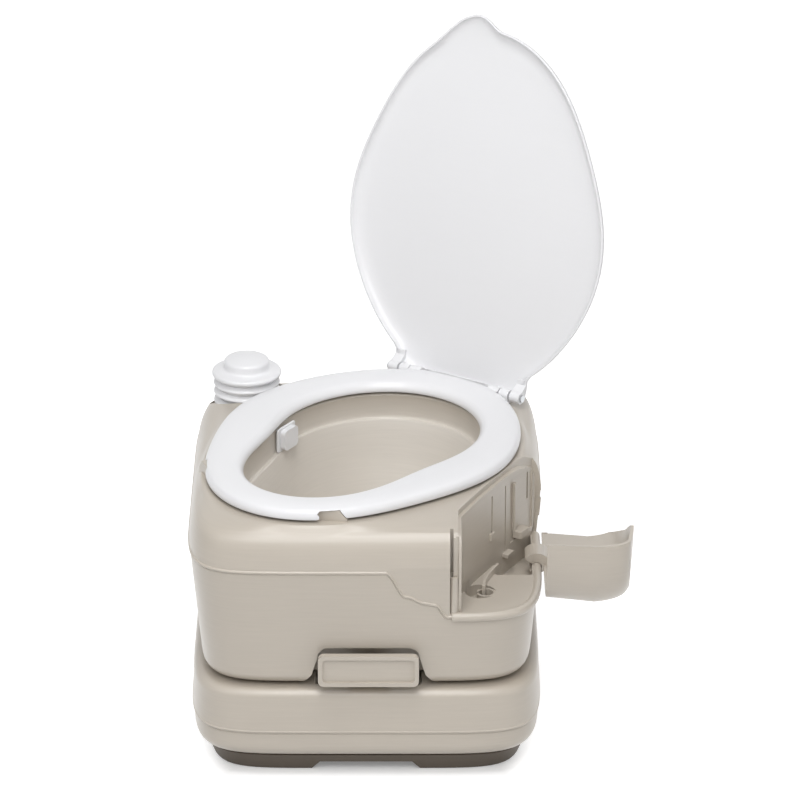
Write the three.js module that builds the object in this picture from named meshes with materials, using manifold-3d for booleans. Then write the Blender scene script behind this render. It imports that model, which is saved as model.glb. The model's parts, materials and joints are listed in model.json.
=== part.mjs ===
// Portable chemical toilet: a fresh-water top half with bowl, seat, lid, bellows pump and paper niche,
// standing on a waste tank with a slide valve. Millimetres, +Z up, front towards -Y.
// The origin is the centre of the footprint, on the surface that the base stands on.
import * as THREE from "three";
import { mergeVertices } from "three/addons/utils/BufferGeometryUtils.js";
import Module from "manifold-3d";

const wasm = await Module();
wasm.setup();

// Driving dimensions: the footprint and the heights of the stacked shells
const bodyWidth = 368;
const bodyDepth = 419;
const tankBottom = 20;
const tankHeight = 79;
const tankJoint = 3;
const bodyHeight = 180;
const shoulderHeight = 42;
const squareShare = 7;
const halfWidth = bodyWidth / 2;
const halfDepth = bodyDepth / 2;
const tankTop = tankBottom + tankHeight;
const bodyBottom = tankTop + tankJoint;
const deckLevel = bodyBottom + bodyHeight;
const shoulderStart = deckLevel - shoulderHeight;
const cornerCrowdShare = 0.15;

// Clearances
const fit = 0.3;
const slideFit = 0.5;
const partGap = 1.2;
const overrun = 4;

// Base tray
const baseTopInset = 13;
const baseBottomInset = 19.5;
const baseFloorRound = 1.5;
const archTopHalf = 48;
const archBottomHalf = 57;
const archHeight = 10;
const archDepth = 60;

// Waste tank
const tankInset = 1;
const tankDraft = 1.5;
const tankTopRound = 9;
const tankFootRound = 16;
const tankBeadRise = 32;
const tankBeadLevel = tankBottom + tankBeadRise;
const beadRise = 1.2;
const beadHalf = 1.8;
const tankWall = 4;
const tankFloorWall = 4;
const inletRadius = 44;
const railMiddle = 96;
const railWidth = 12;
const railReach = 140;

// Upper body
const bodyDraft = 12;
const bodyRound = 12;
const beadUnderShoulder = 4;
const beadLevel = shoulderStart - beadUnderShoulder;
const outletHeight = 16;
const outletLevel = bodyBottom + outletHeight;
const shoulderEdge = 3;

// Seat, lid and hinge, laid out from the hinge line towards the front of the seat
const hingeX = 95.6;
const hingeInset = 55.7;
const hingeY = halfDepth - hingeInset;
const noseX = -115.84866;
const noseInset = 38.81463;
const noseY = -halfDepth + noseInset;
const seatTurn = Math.atan2(hingeX - noseX, hingeY - noseY);
const seatLength = Math.hypot(hingeX - noseX, hingeY - noseY);
const pivotRise = 9;
const pivotLevel = deckLevel + pivotRise;
const seatBehind = 8.7;
const eggPoint = 4.6;
const eggFlat = 4.4;
const eggLong = (seatLength + seatBehind) / 2 - eggFlat;
const eggWideShare = 0.55;
const eggWideMore = 38.175;
const eggWide = halfDepth * eggWideShare + eggWideMore;
const eggMean = (eggLong + eggWide) / 2;
const eggStretch = (eggLong - eggWide) / 2;
const eggCentre = eggLong - eggPoint + eggFlat - seatBehind;
const seatRingWidth = 47.6;
const holeMean = eggMean - seatRingWidth;
const holeStretch = 26.3;
const holePoint = 7.2;
const holeFlat = 2.6;
const seatThick = 13;
const seatDrop = 6;
const seatEdgeRound = 2.6;
const seatTopRound = 8;
const seatWall = 3;
const crownShare = 0.45;
const notchAngles = [0.42, -0.6];
const notchOut = [-6, 2];
const notchHalf = 10;
const notchFlare = 6;
const notchDepth = 9;
const notchTop = 4;
const lugOut = 1;
const seatBackEdge = 2;
const seatCornerCut = 11;
const lidOverhang = 1.7;
const lidRim = 7.7;
const lidRise = 13.5;
const lidWall = 2.6;
const lidBackEdge = 9;
const lidOpenAngle = THREE.MathUtils.degToRad(99.7);
const noseReach = 15;
const noseHalf = 34;
const noseOffset = 17;
const pinRadius = 2.5;
const knuckleRadius = 6.4;
const knuckleStart = 43;
const knuckleWidth = 14;
const postWidth = 12;
const postGap = 1;
const postStart = knuckleStart + knuckleWidth + postGap;
const earStart = postStart + postWidth + postGap * 2;
const earWidth = 12;
const earNeck = 13;
const earReach = 26;
const postHalf = 7;
const footInner = 30;
const footOuter = postStart + postHalf;
const footCorner = 14;
const footBack = 20;
const footFront = 8;
const footFrontOuter = 3;
const footSide = 6;
const hingeFootThick = 3;
const hingeFoot = [
  [footInner, footFront],
  [footOuter, footFrontOuter],
  [footOuter, footFrontOuter + footSide],
  [footOuter - footCorner, footBack],
  [footInner, footBack],
];
const hingeScrewBack = 14;
const hingeScrewPitch = 12;
const hingeScrewFirst = footInner + postHalf;
const hingeScrews = [
  [hingeScrewFirst, hingeScrewBack],
  [hingeScrewFirst + hingeScrewPitch, hingeScrewBack],
];
const ledgeBack = footBack + 2;
const hingeLedge = [
  [-earStart, -4],
  [earStart, -4],
  [earStart, footSide],
  [footOuter - footCorner, ledgeBack],
  [footCorner - footOuter, ledgeBack],
  [-earStart, footSide],
];
const ledgeInset = 4;
const pinStart = knuckleStart - postGap;
const pinOut = 1.5;
const pinLength = earStart + earWidth + pinOut - pinStart;
const pinHeadRadius = 4;
const pinHeadThick = 1.5;
const screwRadius = 1.8;
const screwHeadRadius = 3.6;
const screwHeadThick = 2;
const screwLength = 12;
const valveScrewLength = 20;
const valveScrewInset = 8;
const bossRadius = 5;
const bumperRadius = 6;
const bumperAngles = [0.7, 2.2, -2.2, -0.7];
const bumperShare = 0.5;

// Bowl
const bowlMargin = 4;
const bowlBand = 28;
const bowlBandBottom = deckLevel - bowlBand;
const bowlLedge = 4;
const bowlShares = [[1, 1], [0.84, 0.93], [0.56, 0.72], [0.26, 0.38], [0, 0]];
const bowlSideReach = holeMean - holeStretch + holeFlat + bowlMargin;
const nozzleSetOff = 3.4;
const nozzleBehind = 6.7;
const nozzleAlong = eggCentre - nozzleBehind;
const nozzleWidth = 25;
const nozzleHeight = 23;
const nozzleDepth = 6;
const nozzlePlateThick = 2.5;
const nozzlePlateMargin = 4;
const nozzlePlateFoot = 2;
const nozzleDown = 14;
const nozzleLevel = deckLevel - nozzleDown;
const nozzleBore = 5;

// Bellows pump
const pumpX = -131;
const pumpInset = 49.5;
const pumpY = halfDepth - pumpInset;
const pumpPocketRadius = 41;
const pumpPocketDepth = 30;
const pumpFloor = deckLevel - pumpPocketDepth;
const bellowsGap = 5;
const bellowsRadius = pumpPocketRadius - bellowsGap;
const bellowsFold = 4.5;
const bellowsWaist = bellowsRadius - bellowsFold;
const bellowsWall = 1.8;
const bellowsRise = 15.5;
const bellowsTop = deckLevel + bellowsRise;
const bellowsCount = 4;
const bellowsFoldShares = [0, 0.4, 0.7];
const pumpFlangeOut = 1.6;
const pumpFlangeRadius = bellowsRadius + pumpFlangeOut;
const pumpFlangeThick = 6.5;
const pumpButtonRadius = 24.6;
const pumpButtonRise = 11;
const pumpDomeRise = 4;
const pumpTubeRadius = 17;
const pumpTubeWall = 2.5;
const pumpTubeDepth = 90;
const pumpRodRadius = 5;
const pumpRodLength = 70;
const pumpPistonThick = 8;
const collarWidth = 5;
const collarHeight = 4.4;
const collarTop = pumpFloor + collarHeight;

// Fill opening
const fillBehindHinge = 28;
const fillAside = 5;
const fillPocketRadius = 25;
const fillPocketDepth = 26;
const fillFloor = deckLevel - fillPocketDepth;
const fillNeckRadius = 15;
const fillNeckHeight = 9;
const fillWellDepth = 60;
const fillCapRadius = fillNeckRadius + 5;
const fillCapHeight = 14;
const fillCapWall = 2.5;
const fillSealThick = 2;
const fillSealWidth = 4;

// Slide valve
const valveX = 3;
const valveHalf = 68;
const valveReach = 66;
const valveInset = 13;
const valveFloor = tankTop - valveInset;
const outletAhead = 122.8;
const inletY = hingeY - outletAhead;
const frameThick = 12.7;
const bladeRise = 5.8;
const bladeBottom = valveFloor + bladeRise;
const tongueRise = 0.6;
const tongueBottom = tankTop + tongueRise;
const handleSetBack = 0.5;
const handleFront = halfDepth - handleSetBack;
const sealLand = 2;
const bladeThick = 3.2;
const bladeHalf = 52;
const bladeFrontReach = 73;
const bladeBackReach = 55;
const tongueHalf = 20;
const tongueThick = 4;
const tongueRoom = 1.6;
const channelHalf = 55;
const channelInset = 17.5;
const channelFront = halfDepth - channelInset;
const sealWidth = 5;
const sealThick = 1.6;
const handleWidth = 104;
const handleRoom = 1;
const handleHeight = 35;
const handleThick = 7;
const handleRise = 7;
const handleBottom = bodyBottom + handleRise;
const handleRim = 4.5;
const handleSink = 2;
const handleCorner = 6;
const handleRecessDepth = 34;
const handleRecessHeight = 47;
const handleRecessTop = bodyBottom + handleRecessHeight;
const handleRecessHalf = handleWidth / 2 + handleRoom;
const handleFlare = 24;
const webReach = 19;

// Paper niche in the front right corner and its cover
const nicheDepth = 95;
const nicheFloor = deckLevel - nicheDepth;
const nicheWallShares = [[0.535, -0.76], [0.636, -0.573], [0.799, -0.296], [0.967, -0.038]];
const lipRadius = 5;
const nicheFrame = 6;
const nicheFrameRise = 1;
const rebateWidth = 3;
const rebateDepth = 4.5;
// Which stretch of the niche wall each rib, groove and ledge is on, and the share of the way along it
const ribShares = [[1, 0.86], [2, 0.3]];
const grooveShares = [[1, 0.36], [2, 0.62]];
const ledgeShares = [[2, 0.4], [2, 0.02]];
// Width of each rib, its foot over the niche's floor and its top under the deck
const panelRibs = [[9, 19, 16], [6, 19, 20]];
// Foot of each groove over the niche's floor and its top under the deck
const panelGrooves = [[39, 14], [43, 20]];
// Width and reach of each ledge, and its low and high sides over the niche's floor
const wallLedges = [[19, 10, 21, 29], [17, 9, 9, 14]];
// The curved rib between the cup and the pit, the pit's corner and the cup, as seen from above
const curveShares = [[0.663, -0.7255], [0.674, -0.6395], [0.7065, -0.5535], [0.75, -0.468]];
const pitCornerShares = [0.728, -0.5345];
const cupShares = [0.644, -0.721];
const ribHalf = 1.75;
const ribRise = 7;
const pitDepth = 21;
const pitFloor = nicheFloor - pitDepth;
const postAside = 7.2;
const postX = nicheWallShares[0][0] * halfWidth - postAside;
const postInset = 8.5;
const postY = -halfDepth + postInset;
const postRoomHalf = 4.5;
const postRoomDepth = 9;
const coverWall = 3;
const coverAxisDrop = 3.5;
const coverAxisLevel = nicheFloor - coverAxisDrop;
const coverOpenAngle = THREE.MathUtils.degToRad(90);
const coverFootGap = 2;
const strapInner = 8;
const strapOuter = 15.5;
const strapWidth = 26;
const strapShare = -0.4105;
const strapStart = halfDepth * strapShare;
const strapFrom = THREE.MathUtils.degToRad(73);
const strapSweep = THREE.MathUtils.degToRad(160);
const barrelFrom = THREE.MathUtils.degToRad(-60);
const barrelRadius = 8.3;
const postRadius = 4.3;
const postHeight = 41;
const postTop = nicheFloor + postHeight;
const slotWidth = 3.5;
const slotDepth = 20;
const cupRadius = 16;
const cupDepth = 7;
const cupRingRadius = 10;
const cupRingWall = 2.5;
const cupX = cupShares[0] * halfWidth;
const cupY = cupShares[1] * halfDepth;
const panelRise = 2.5;
const grooveWidth = 3.5;
const grooveDepth = 2;

// Pour spout at the back of the waste tank
const bayHalf = 82;
const bayDepth = 62;
const bayRise = 20;
const bayFloor = tankBottom + bayRise;
const spoutX = -44;
const spoutInset = 31.5;
const spoutY = halfDepth - spoutInset;
const spoutRadius = 19;
const spoutWall = 3;
const spoutRise = 32;
const spoutLevel = bayFloor + spoutRise;
const spoutReach = 76;
const spoutFlange = 4;
const spoutCapLength = 20;
const spoutCapWall = 3;
const ventX = 62;
const ventInset = 29.5;
const ventY = halfDepth - ventInset;
const ventRadius = 9;
const ventHeight = 10;
const ventStem = 3;
const ventTravel = 4;
const ventCollarHeight = 6;

// Rear latches
const latchX = 122;
const latchWidth = 30;
const latchThick = 5;
const latchPivotDown = 25;
const latchPivotLevel = tankTop - latchPivotDown;
const latchOver = 26;
const latchTop = bodyBottom + latchOver;
const latchHook = 9;
const latchHookThick = 4;
const latchInset = 9;
const latchY = halfDepth - latchInset;
const latchPocket = 16;
const latchPinRadius = 2.5;
const latchTail = 16;

// How finely round forms are divided
const bodySteps = 40;
const eggSteps = 36;
const noseAngles = [-0.2, -0.16, -0.1, -0.06, -0.03, 0.03, 0.06];
const roundSteps = 24;
const smallSteps = 12;
const arcSteps = 3;
// How far along the front the bead has come down to which share of the way to the niche's lip
const beadDropShares = [[0.114, 0], [0.228, 0.533], [0.337, 0.686], [0.397, 0.724], [0.4675, 1]];
const beadBendShares = [0.114, 0.163, 0.228, 0.337, 0.397, 0.4675];
// Each step of the shoulder: how far in, then at most what share of the way to the seat, and its rise
const shoulderIn = [0, 1.5, 4.5, 9, 16];
const shoulderShares = [[0, 0], [0.12, 0.286], [0.3, 0.548], [0.5, 0.738], [0.7, 0.857]];
const deckCrown = 1.6;
const cornerSpreadShare = 1.1;
// Rings of the lid from its rim inwards: how far in, how far up, and how much of the nose they keep
const lidCrownShares = [
  [0, 0, 1],
  [0.003, 0.2, 1],
  [0.0115, 0.47, 0.8],
  [0.046, 0.73, 0.4],
  [0.115, 0.88, 0],
  [0.346, 0.97, 0],
  [0.576, 1, 0],
];
const lidHollowShares = [
  [0, 0, 1],
  [0.017, 0.42, 0.8],
  [0.052, 0.62, 0.3],
  [0.115, 0.7, 0],
  [0.346, 0.78, 0],
  [0.576, 0.8, 0],
];

const bodyPlastic = new THREE.MeshStandardMaterial({ color: 0xb9b0a3, roughness: 0.45, metalness: 0 });
const whitePlastic = new THREE.MeshStandardMaterial({ color: 0xf0f0f2, roughness: 0.35, metalness: 0 });
const basePlastic = new THREE.MeshStandardMaterial({ color: 0x4d4338, roughness: 0.6, metalness: 0 });
const sealRubber = new THREE.MeshStandardMaterial({ color: 0x2b2b2b, roughness: 0.8, metalness: 0 });
const pinSteel = new THREE.MeshStandardMaterial({ color: 0xb8bcc0, roughness: 0.3, metalness: 1 });

const quarter = Math.PI / 2;
const halfTurn = Math.PI;
const fullTurn = 2 * Math.PI;
// Solids and meshes

function solidFrom(geometry) {
  const bare = geometry.index ? geometry.clone() : geometry;
  bare.deleteAttribute("normal");
  bare.deleteAttribute("uv");
  const merged = mergeVertices(bare);
  return new wasm.Manifold(
    new wasm.Mesh({
      numProp: 3,
      vertProperties: merged.attributes.position.array,
      triVerts: new Uint32Array(merged.index.array),
    }),
  );
}

function geometryFrom(solid) {
  const mesh = solid.getMesh();
  const geometry = new THREE.BufferGeometry();
  geometry.setAttribute("position", new THREE.BufferAttribute(mesh.vertProperties, 3));
  geometry.setIndex(new THREE.BufferAttribute(mesh.triVerts, 1));
  return geometry;
}

function joined(solids) {
  return solids.reduce((all, one) => all.add(one));
}

function cutBy(solid, tools) {
  return tools.reduce((left, tool) => left.subtract(tool), solid);
}

// A skin between rings of the same number of points, counterclockwise from above, with both ends capped
function loft(rings) {
  const count = rings[0].length;
  const points = rings.flat();
  const faces = [];
  for (let level = 0; level + 1 < rings.length; level++) {
    for (let step = 0; step < count; step++) {
      const low = level * count + step;
      const lowNext = level * count + ((step + 1) % count);
      faces.push(low, lowNext, lowNext + count, low, lowNext + count, low + count);
    }
  }
  for (const [level, flip] of [[0, true], [rings.length - 1, false]]) {
    const centre = points.length;
    const middle = new THREE.Vector3();
    rings[level].forEach((point) => middle.addScaledVector(point, 1 / count));
    points.push(middle);
    for (let step = 0; step < count; step++) {
      const here = level * count + step;
      const next = level * count + ((step + 1) % count);
      faces.push(centre, flip ? next : here, flip ? here : next);
    }
  }
  return solidFrom(meshOf(points, faces));
}

// A closed section carried round a closed path: one loop of points for each place on the path
function hoop(sections) {
  const count = sections[0].length;
  const points = sections.flat();
  const faces = [];
  sections.forEach((section, place) => {
    const nextPlace = (place + 1) % sections.length;
    for (let step = 0; step < count; step++) {
      const nextStep = (step + 1) % count;
      const here = place * count + step;
      const ahead = nextPlace * count + step;
      const up = place * count + nextStep;
      const aheadUp = nextPlace * count + nextStep;
      faces.push(here, ahead, aheadUp, here, aheadUp, up);
    }
  });
  return solidFrom(meshOf(points, faces));
}

function meshOf(points, faces) {
  const geometry = new THREE.BufferGeometry();
  const flat = points.flatMap((point) => [point.x, point.y, point.z]);
  geometry.setAttribute("position", new THREE.Float32BufferAttribute(flat, 3));
  geometry.setIndex(faces);
  return geometry;
}

function block(x0, x1, y0, y1, z0, z1) {
  const geometry = new THREE.BoxGeometry(x1 - x0, y1 - y0, z1 - z0);
  geometry.translate((x0 + x1) / 2, (y0 + y1) / 2, (z0 + z1) / 2);
  return solidFrom(geometry);
}

function rod(radius, from, to, steps = roundSteps) {
  const length = from.distanceTo(to);
  const geometry = new THREE.CylinderGeometry(radius, radius, length, steps);
  const up = new THREE.Vector3(0, 1, 0);
  const along = to.clone().sub(from).normalize();
  geometry.applyQuaternion(new THREE.Quaternion().setFromUnitVectors(up, along));
  const middle = from.clone().add(to).multiplyScalar(0.5);
  geometry.translate(middle.x, middle.y, middle.z);
  return solidFrom(geometry);
}

function upright(radius, x, y, z0, z1, steps = roundSteps) {
  return rod(radius, new THREE.Vector3(x, y, z0), new THREE.Vector3(x, y, z1), steps);
}

// A profile of radius and height, turned about a vertical line at x, y
function turned(profile, x, y, steps = roundSteps) {
  const outline = profile.map(([radius, height]) => new THREE.Vector2(radius, height));
  const geometry = new THREE.LatheGeometry(outline, steps);
  geometry.rotateX(quarter);
  geometry.translate(x, y, 0);
  return solidFrom(geometry);
}

// An outline in x and z carried along y
function profileAlongY(outline, y0, y1) {
  const shape = new THREE.Shape(outline.map(([x, z]) => new THREE.Vector2(x, z)));
  const geometry = new THREE.ExtrudeGeometry(shape, { depth: y1 - y0, bevelEnabled: false });
  geometry.rotateX(quarter);
  geometry.translate(0, y1, 0);
  return solidFrom(geometry);
}

// An outline in x and y carried along z
function profileAlongZ(outline, z0, z1) {
  const shape = new THREE.Shape(outline.map(([x, y]) => new THREE.Vector2(x, y)));
  const geometry = new THREE.ExtrudeGeometry(shape, { depth: z1 - z0, bevelEnabled: false });
  geometry.translate(0, 0, z0);
  return solidFrom(geometry);
}

// An outline in y and z carried along x
function profileAlongX(outline, x0, x1) {
  const shape = new THREE.Shape(outline.map(([y, z]) => new THREE.Vector2(y, z)));
  const geometry = new THREE.ExtrudeGeometry(shape, { depth: x1 - x0, bevelEnabled: false });
  geometry.rotateX(quarter);
  geometry.rotateZ(quarter);
  geometry.translate(x0, 0, 0);
  return solidFrom(geometry);
}

function arc(centreA, centreB, radius, from, to, steps = arcSteps) {
  const points = [];
  for (let step = 0; step <= steps; step++) {
    const angle = from + ((to - from) * step) / steps;
    points.push([centreA + radius * Math.cos(angle), centreB + radius * Math.sin(angle)]);
  }
  return points;
}

function roundedRectangle(a0, a1, b0, b1, radius, steps = arcSteps) {
  return [
    ...arc(a1 - radius, b0 + radius, radius, -quarter, 0, steps),
    ...arc(a1 - radius, b1 - radius, radius, 0, quarter, steps),
    ...arc(a0 + radius, b1 - radius, radius, quarter, halfTurn, steps),
    ...arc(a0 + radius, b0 + radius, radius, halfTurn, halfTurn + quarter, steps),
  ];
}

// The plan of the tanks: bowed sides that run into large round corners

const evenAngles = evenAngleList();
const shoulderReach = shoulderIn.at(-1);
const [shoulderMost] = shoulderShares.at(-1);
const bendAngles = beadBendShares.map((share) => Math.atan2(-halfDepth, halfWidth * share));
const planAngles = [...evenAngles, ...bendAngles].sort((first, second) => first - second);

function evenAngleList() {
  const angles = [];
  for (let step = 0; step < bodySteps; step++) {
    const even = -halfTurn + (fullTurn * step) / bodySteps;
    angles.push(even + cornerCrowdShare * Math.sin(4 * even));
  }
  return angles.sort((first, second) => first - second);
}

function planReach(angle, inset) {
  const across = Math.abs(Math.cos(angle)) / (halfWidth - inset);
  const along = Math.abs(Math.sin(angle)) / (halfDepth - inset);
  return (across ** squareShare + along ** squareShare) ** (-1 / squareShare);
}

function planPoint(angle, inset, z) {
  const reach = planReach(angle, inset);
  return new THREE.Vector3(reach * Math.cos(angle), reach * Math.sin(angle), z);
}

function planRing(inset, z) {
  return planAngles.map((angle) => planPoint(angle, inset, z));
}

function tankRing(inset, z) {
  return evenAngles.map((angle) => planPoint(angle, inset, z));
}

const eggAngles = eggAngleList();

function eggAngleList() {
  const even = Array.from({ length: eggSteps }, (_, step) => (fullTurn * step) / eggSteps - halfTurn);
  return [...even, ...noseAngles].sort((first, second) => first - second);
}

// The plan of seat, lid and bowl: an egg with its point to the front, in the hinge's own frame.
// There x runs along the hinge line, and the seat reaches towards -y.

function eggReach(mean, stretch, point, flat, alpha) {
  return mean + stretch * Math.cos(2 * alpha) + point * Math.cos(3 * alpha) + flat * Math.cos(4 * alpha);
}

function eggSlope(stretch, point, flat, alpha) {
  return -2 * stretch * Math.sin(2 * alpha) - 3 * point * Math.sin(3 * alpha) - 4 * flat * Math.sin(4 * alpha);
}

function eggPlace(reach, slope, alpha, offset) {
  const size = Math.hypot(reach, slope);
  const outAhead = (reach * Math.cos(alpha) + slope * Math.sin(alpha)) / size;
  const outAside = (reach * Math.sin(alpha) - slope * Math.cos(alpha)) / size;
  const ahead = eggCentre + reach * Math.cos(alpha) + offset * outAhead;
  const aside = reach * Math.sin(alpha) + offset * outAside;
  return new THREE.Vector3(aside, -ahead, 0);
}

function seatEdge(alpha, offset) {
  const reach = eggReach(eggMean, eggStretch, eggPoint, eggFlat, alpha);
  return eggPlace(reach, eggSlope(eggStretch, eggPoint, eggFlat, alpha), alpha, offset);
}

function holeEdge(alpha, offset) {
  const reach = eggReach(holeMean, holeStretch, holePoint, holeFlat, alpha);
  return eggPlace(reach, eggSlope(holeStretch, holePoint, holeFlat, alpha), alpha, offset);
}

function fromHingeFrame(point) {
  const turnedPoint = point.clone().applyAxisAngle(new THREE.Vector3(0, 0, 1), -seatTurn);
  return turnedPoint.add(new THREE.Vector3(hingeX, hingeY, pivotLevel));
}

// The angle on the egg that points the same way as an angle on the plan
function eggAngle(angle) {
  return angle + quarter + seatTurn;
}

// Outer form of the upper body: drafted walls, then a shoulder that runs into the seat's outline

function beadHeight(angle) {
  const inNiche = angle > -quarter && angle < nicheEndAngle();
  const along = halfDepth / Math.tan(-angle) / halfWidth;
  if (angle <= -halfTurn || angle >= 0 || along < beadDropShares[0][0]) return beadLevel;
  for (let step = 0; step + 1 < beadDropShares.length; step++) {
    const [from, high] = beadDropShares[step];
    const [to, low] = beadDropShares[step + 1];
    const down = high + ((low - high) * (along - from)) / (to - from);
    if (along <= to) return beadLevel + (coverAxisLevel - beadLevel) * down;
  }
  return inNiche ? coverAxisLevel : beadLevel;
}

function nicheEndAngle() {
  const [x, y] = nicheWallShares.at(-1);
  return Math.atan2(y * halfDepth, x * halfWidth);
}

function wallInset(z, extra) {
  const drop = (beadLevel - z) / (beadLevel - bodyBottom);
  return extra + bodyDraft * Math.max(0, drop);
}

function shoulderLow() {
  return Math.max(shoulderStart, beadLevel + beadHalf + beadRise);
}

// How much wider the shoulder is at an angle: it spreads at the rear left corner, beside the pump
function shoulderSpread(angle) {
  const inCorner = angle > quarter && angle < halfTurn;
  return inCorner ? 1 + cornerSpreadShare * Math.sin(2 * angle) ** 2 : 1;
}

function bodyForm(extra) {
  const rings = [];
  arc(0, 0, bodyRound, -quarter, 0).forEach(([out, up]) => {
    const z = bodyBottom + bodyRound + up;
    rings.push(planRing(wallInset(z, extra) + bodyRound - out, z));
  });
  const beadRings = [[-beadHalf, 0], [-beadHalf / 2, -beadRise], [beadHalf / 2, -beadRise], [beadHalf, 0]];
  beadRings.forEach(([up, out]) => {
    rings.push(
      planAngles.map((angle) => {
        const z = beadHeight(angle) + up;
        return planPoint(angle, wallInset(z, extra) + out, z);
      }),
    );
  });
  const low = shoulderLow();
  const rise = deckLevel - extra - low;
  const shoulderRing = (inwardAt, z) =>
    planAngles.map((angle) => {
      const spread = shoulderSpread(angle);
      const wall = planPoint(angle, extra, z);
      const rim = fromHingeFrame(seatEdge(eggAngle(angle), shoulderEdge - extra));
      rim.z = z;
      const way = wall.distanceTo(rim);
      return wall.lerp(rim, inwardAt(way, spread) / way);
    });
  shoulderShares.forEach(([most, up], step) => {
    const inward = (way, spread) => Math.min(shoulderIn[step] * spread, most * way);
    rings.push(shoulderRing(inward, low + rise * up));
  });
  const halfIn = (way, spread) => (Math.min(shoulderReach * spread, shoulderMost * way) + way) / 2;
  rings.push(shoulderRing(halfIn, deckLevel - extra - deckCrown));
  rings.push(shoulderRing((way) => way, deckLevel - extra));
  return loft(rings);
}

// Shared pieces of hardware and small forms

function ringAt(inner, outer, x, y, z0, z1, steps = roundSteps) {
  return turned([[inner, z0], [outer, z0], [outer, z1], [inner, z1], [inner, z0]], x, y, steps);
}

function screwDown(x, y, top, length) {
  const shaft = upright(screwRadius, x, y, top - length, top + screwHeadThick / 2, smallSteps);
  return shaft.add(upright(screwHeadRadius, x, y, top + fit, top + fit + screwHeadThick, smallSteps));
}

function screwHole(x, y, top, length) {
  return upright(screwRadius + fit, x, y, top - length - fit, top + overrun, smallSteps);
}

// A round bar that follows a level path
function bar(path, radius, steps) {
  const up = new THREE.Vector3(0, 0, 1);
  const rings = path.map((point, place) => {
    const before = path[Math.max(place - 1, 0)];
    const after = path[Math.min(place + 1, path.length - 1)];
    const along = after.clone().sub(before).normalize();
    const aside = up.clone().cross(along);
    return arc(0, 0, radius, 0, fullTurn * (1 - 1 / steps), steps - 1).map(([out, rise]) =>
      point.clone().addScaledVector(aside, out).addScaledVector(up, rise),
    );
  });
  return loft(rings);
}

function inHingeFrame(solid) {
  const geometry = geometryFrom(solid);
  geometry.rotateZ(-seatTurn);
  geometry.translate(hingeX, hingeY, pivotLevel);
  return solidFrom(geometry);
}

// Bowl, open to the outlet below

function bowlRing(offset, level) {
  return eggAngles.map((alpha) => {
    const point = fromHingeFrame(holeEdge(alpha, offset));
    point.z = level;
    return point;
  });
}

function outletRing(radius, level) {
  return eggAngles.map((alpha) => {
    const angle = alpha - quarter - seatTurn;
    return new THREE.Vector3(valveX + radius * Math.cos(angle), inletY + radius * Math.sin(angle), level);
  });
}

function bowlHollow() {
  const wide = bowlRing(bowlMargin - bowlLedge, bowlBandBottom);
  const narrow = outletRing(inletRadius, outletLevel);
  const slope = bowlShares.map(([inShare, downShare]) =>
    narrow.map((low, place) => {
      const point = wide[place].clone().lerp(low, inShare);
      point.z = bowlBandBottom + (outletLevel - bowlBandBottom) * downShare;
      return point;
    }),
  );
  return loft([
    outletRing(inletRadius, bodyBottom - overrun),
    ...slope,
    bowlRing(bowlMargin, bowlBandBottom),
    bowlRing(bowlMargin, deckLevel + overrun),
  ]);
}

// Places that several pieces share

const nicheWall = nicheWallShares.map(([x, y]) => [x * halfWidth, y * halfDepth]);
const fillPlace = fromHingeFrame(new THREE.Vector3(fillAside, fillBehindHinge, 0));
const coverAxisX = halfWidth - lipRadius;
const strapEnd = strapStart + strapWidth;
const axisY = (y) => new THREE.Vector3(coverAxisX, y, coverAxisLevel);

// The room of the niche as seen from above, grown or shrunk by a margin
function nicheOutline(margin) {
  const [left, second, third, last] = nicheWall;
  const outside = bodyWidth + margin;
  return [
    [left[0] - margin, -outside],
    [outside, -outside],
    [outside, last[1] + margin],
    [last[0] - margin, last[1] + margin],
    [third[0] - margin, third[1] + margin],
    [second[0] - margin, second[1] + margin],
    [left[0] - margin, left[1] + margin],
  ];
}

function lipPath() {
  const start = Math.atan2(-halfDepth, postX);
  const points = [planPoint(start, lipRadius, coverAxisLevel)];
  planAngles.forEach((angle) => {
    if (angle > start && angle < nicheEndAngle()) points.push(planPoint(angle, lipRadius, coverAxisLevel));
  });
  points.push(planPoint(nicheEndAngle(), lipRadius, coverAxisLevel));
  return points;
}

// A box that stands on the niche wall between two of its corners, some share of the way along it

function onNicheWall([corner, share], width, back, out, z0, z1) {
  const [x0, y0] = nicheWall[corner];
  const [x1, y1] = nicheWall[corner + 1];
  const geometry = geometryFrom(block(-width / 2, width / 2, -out, back, z0, z1));
  geometry.rotateZ(Math.atan2(y1 - y0, x1 - x0));
  geometry.translate(x0 + (x1 - x0) * share, y0 + (y1 - y0) * share, 0);
  return solidFrom(geometry);
}

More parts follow.
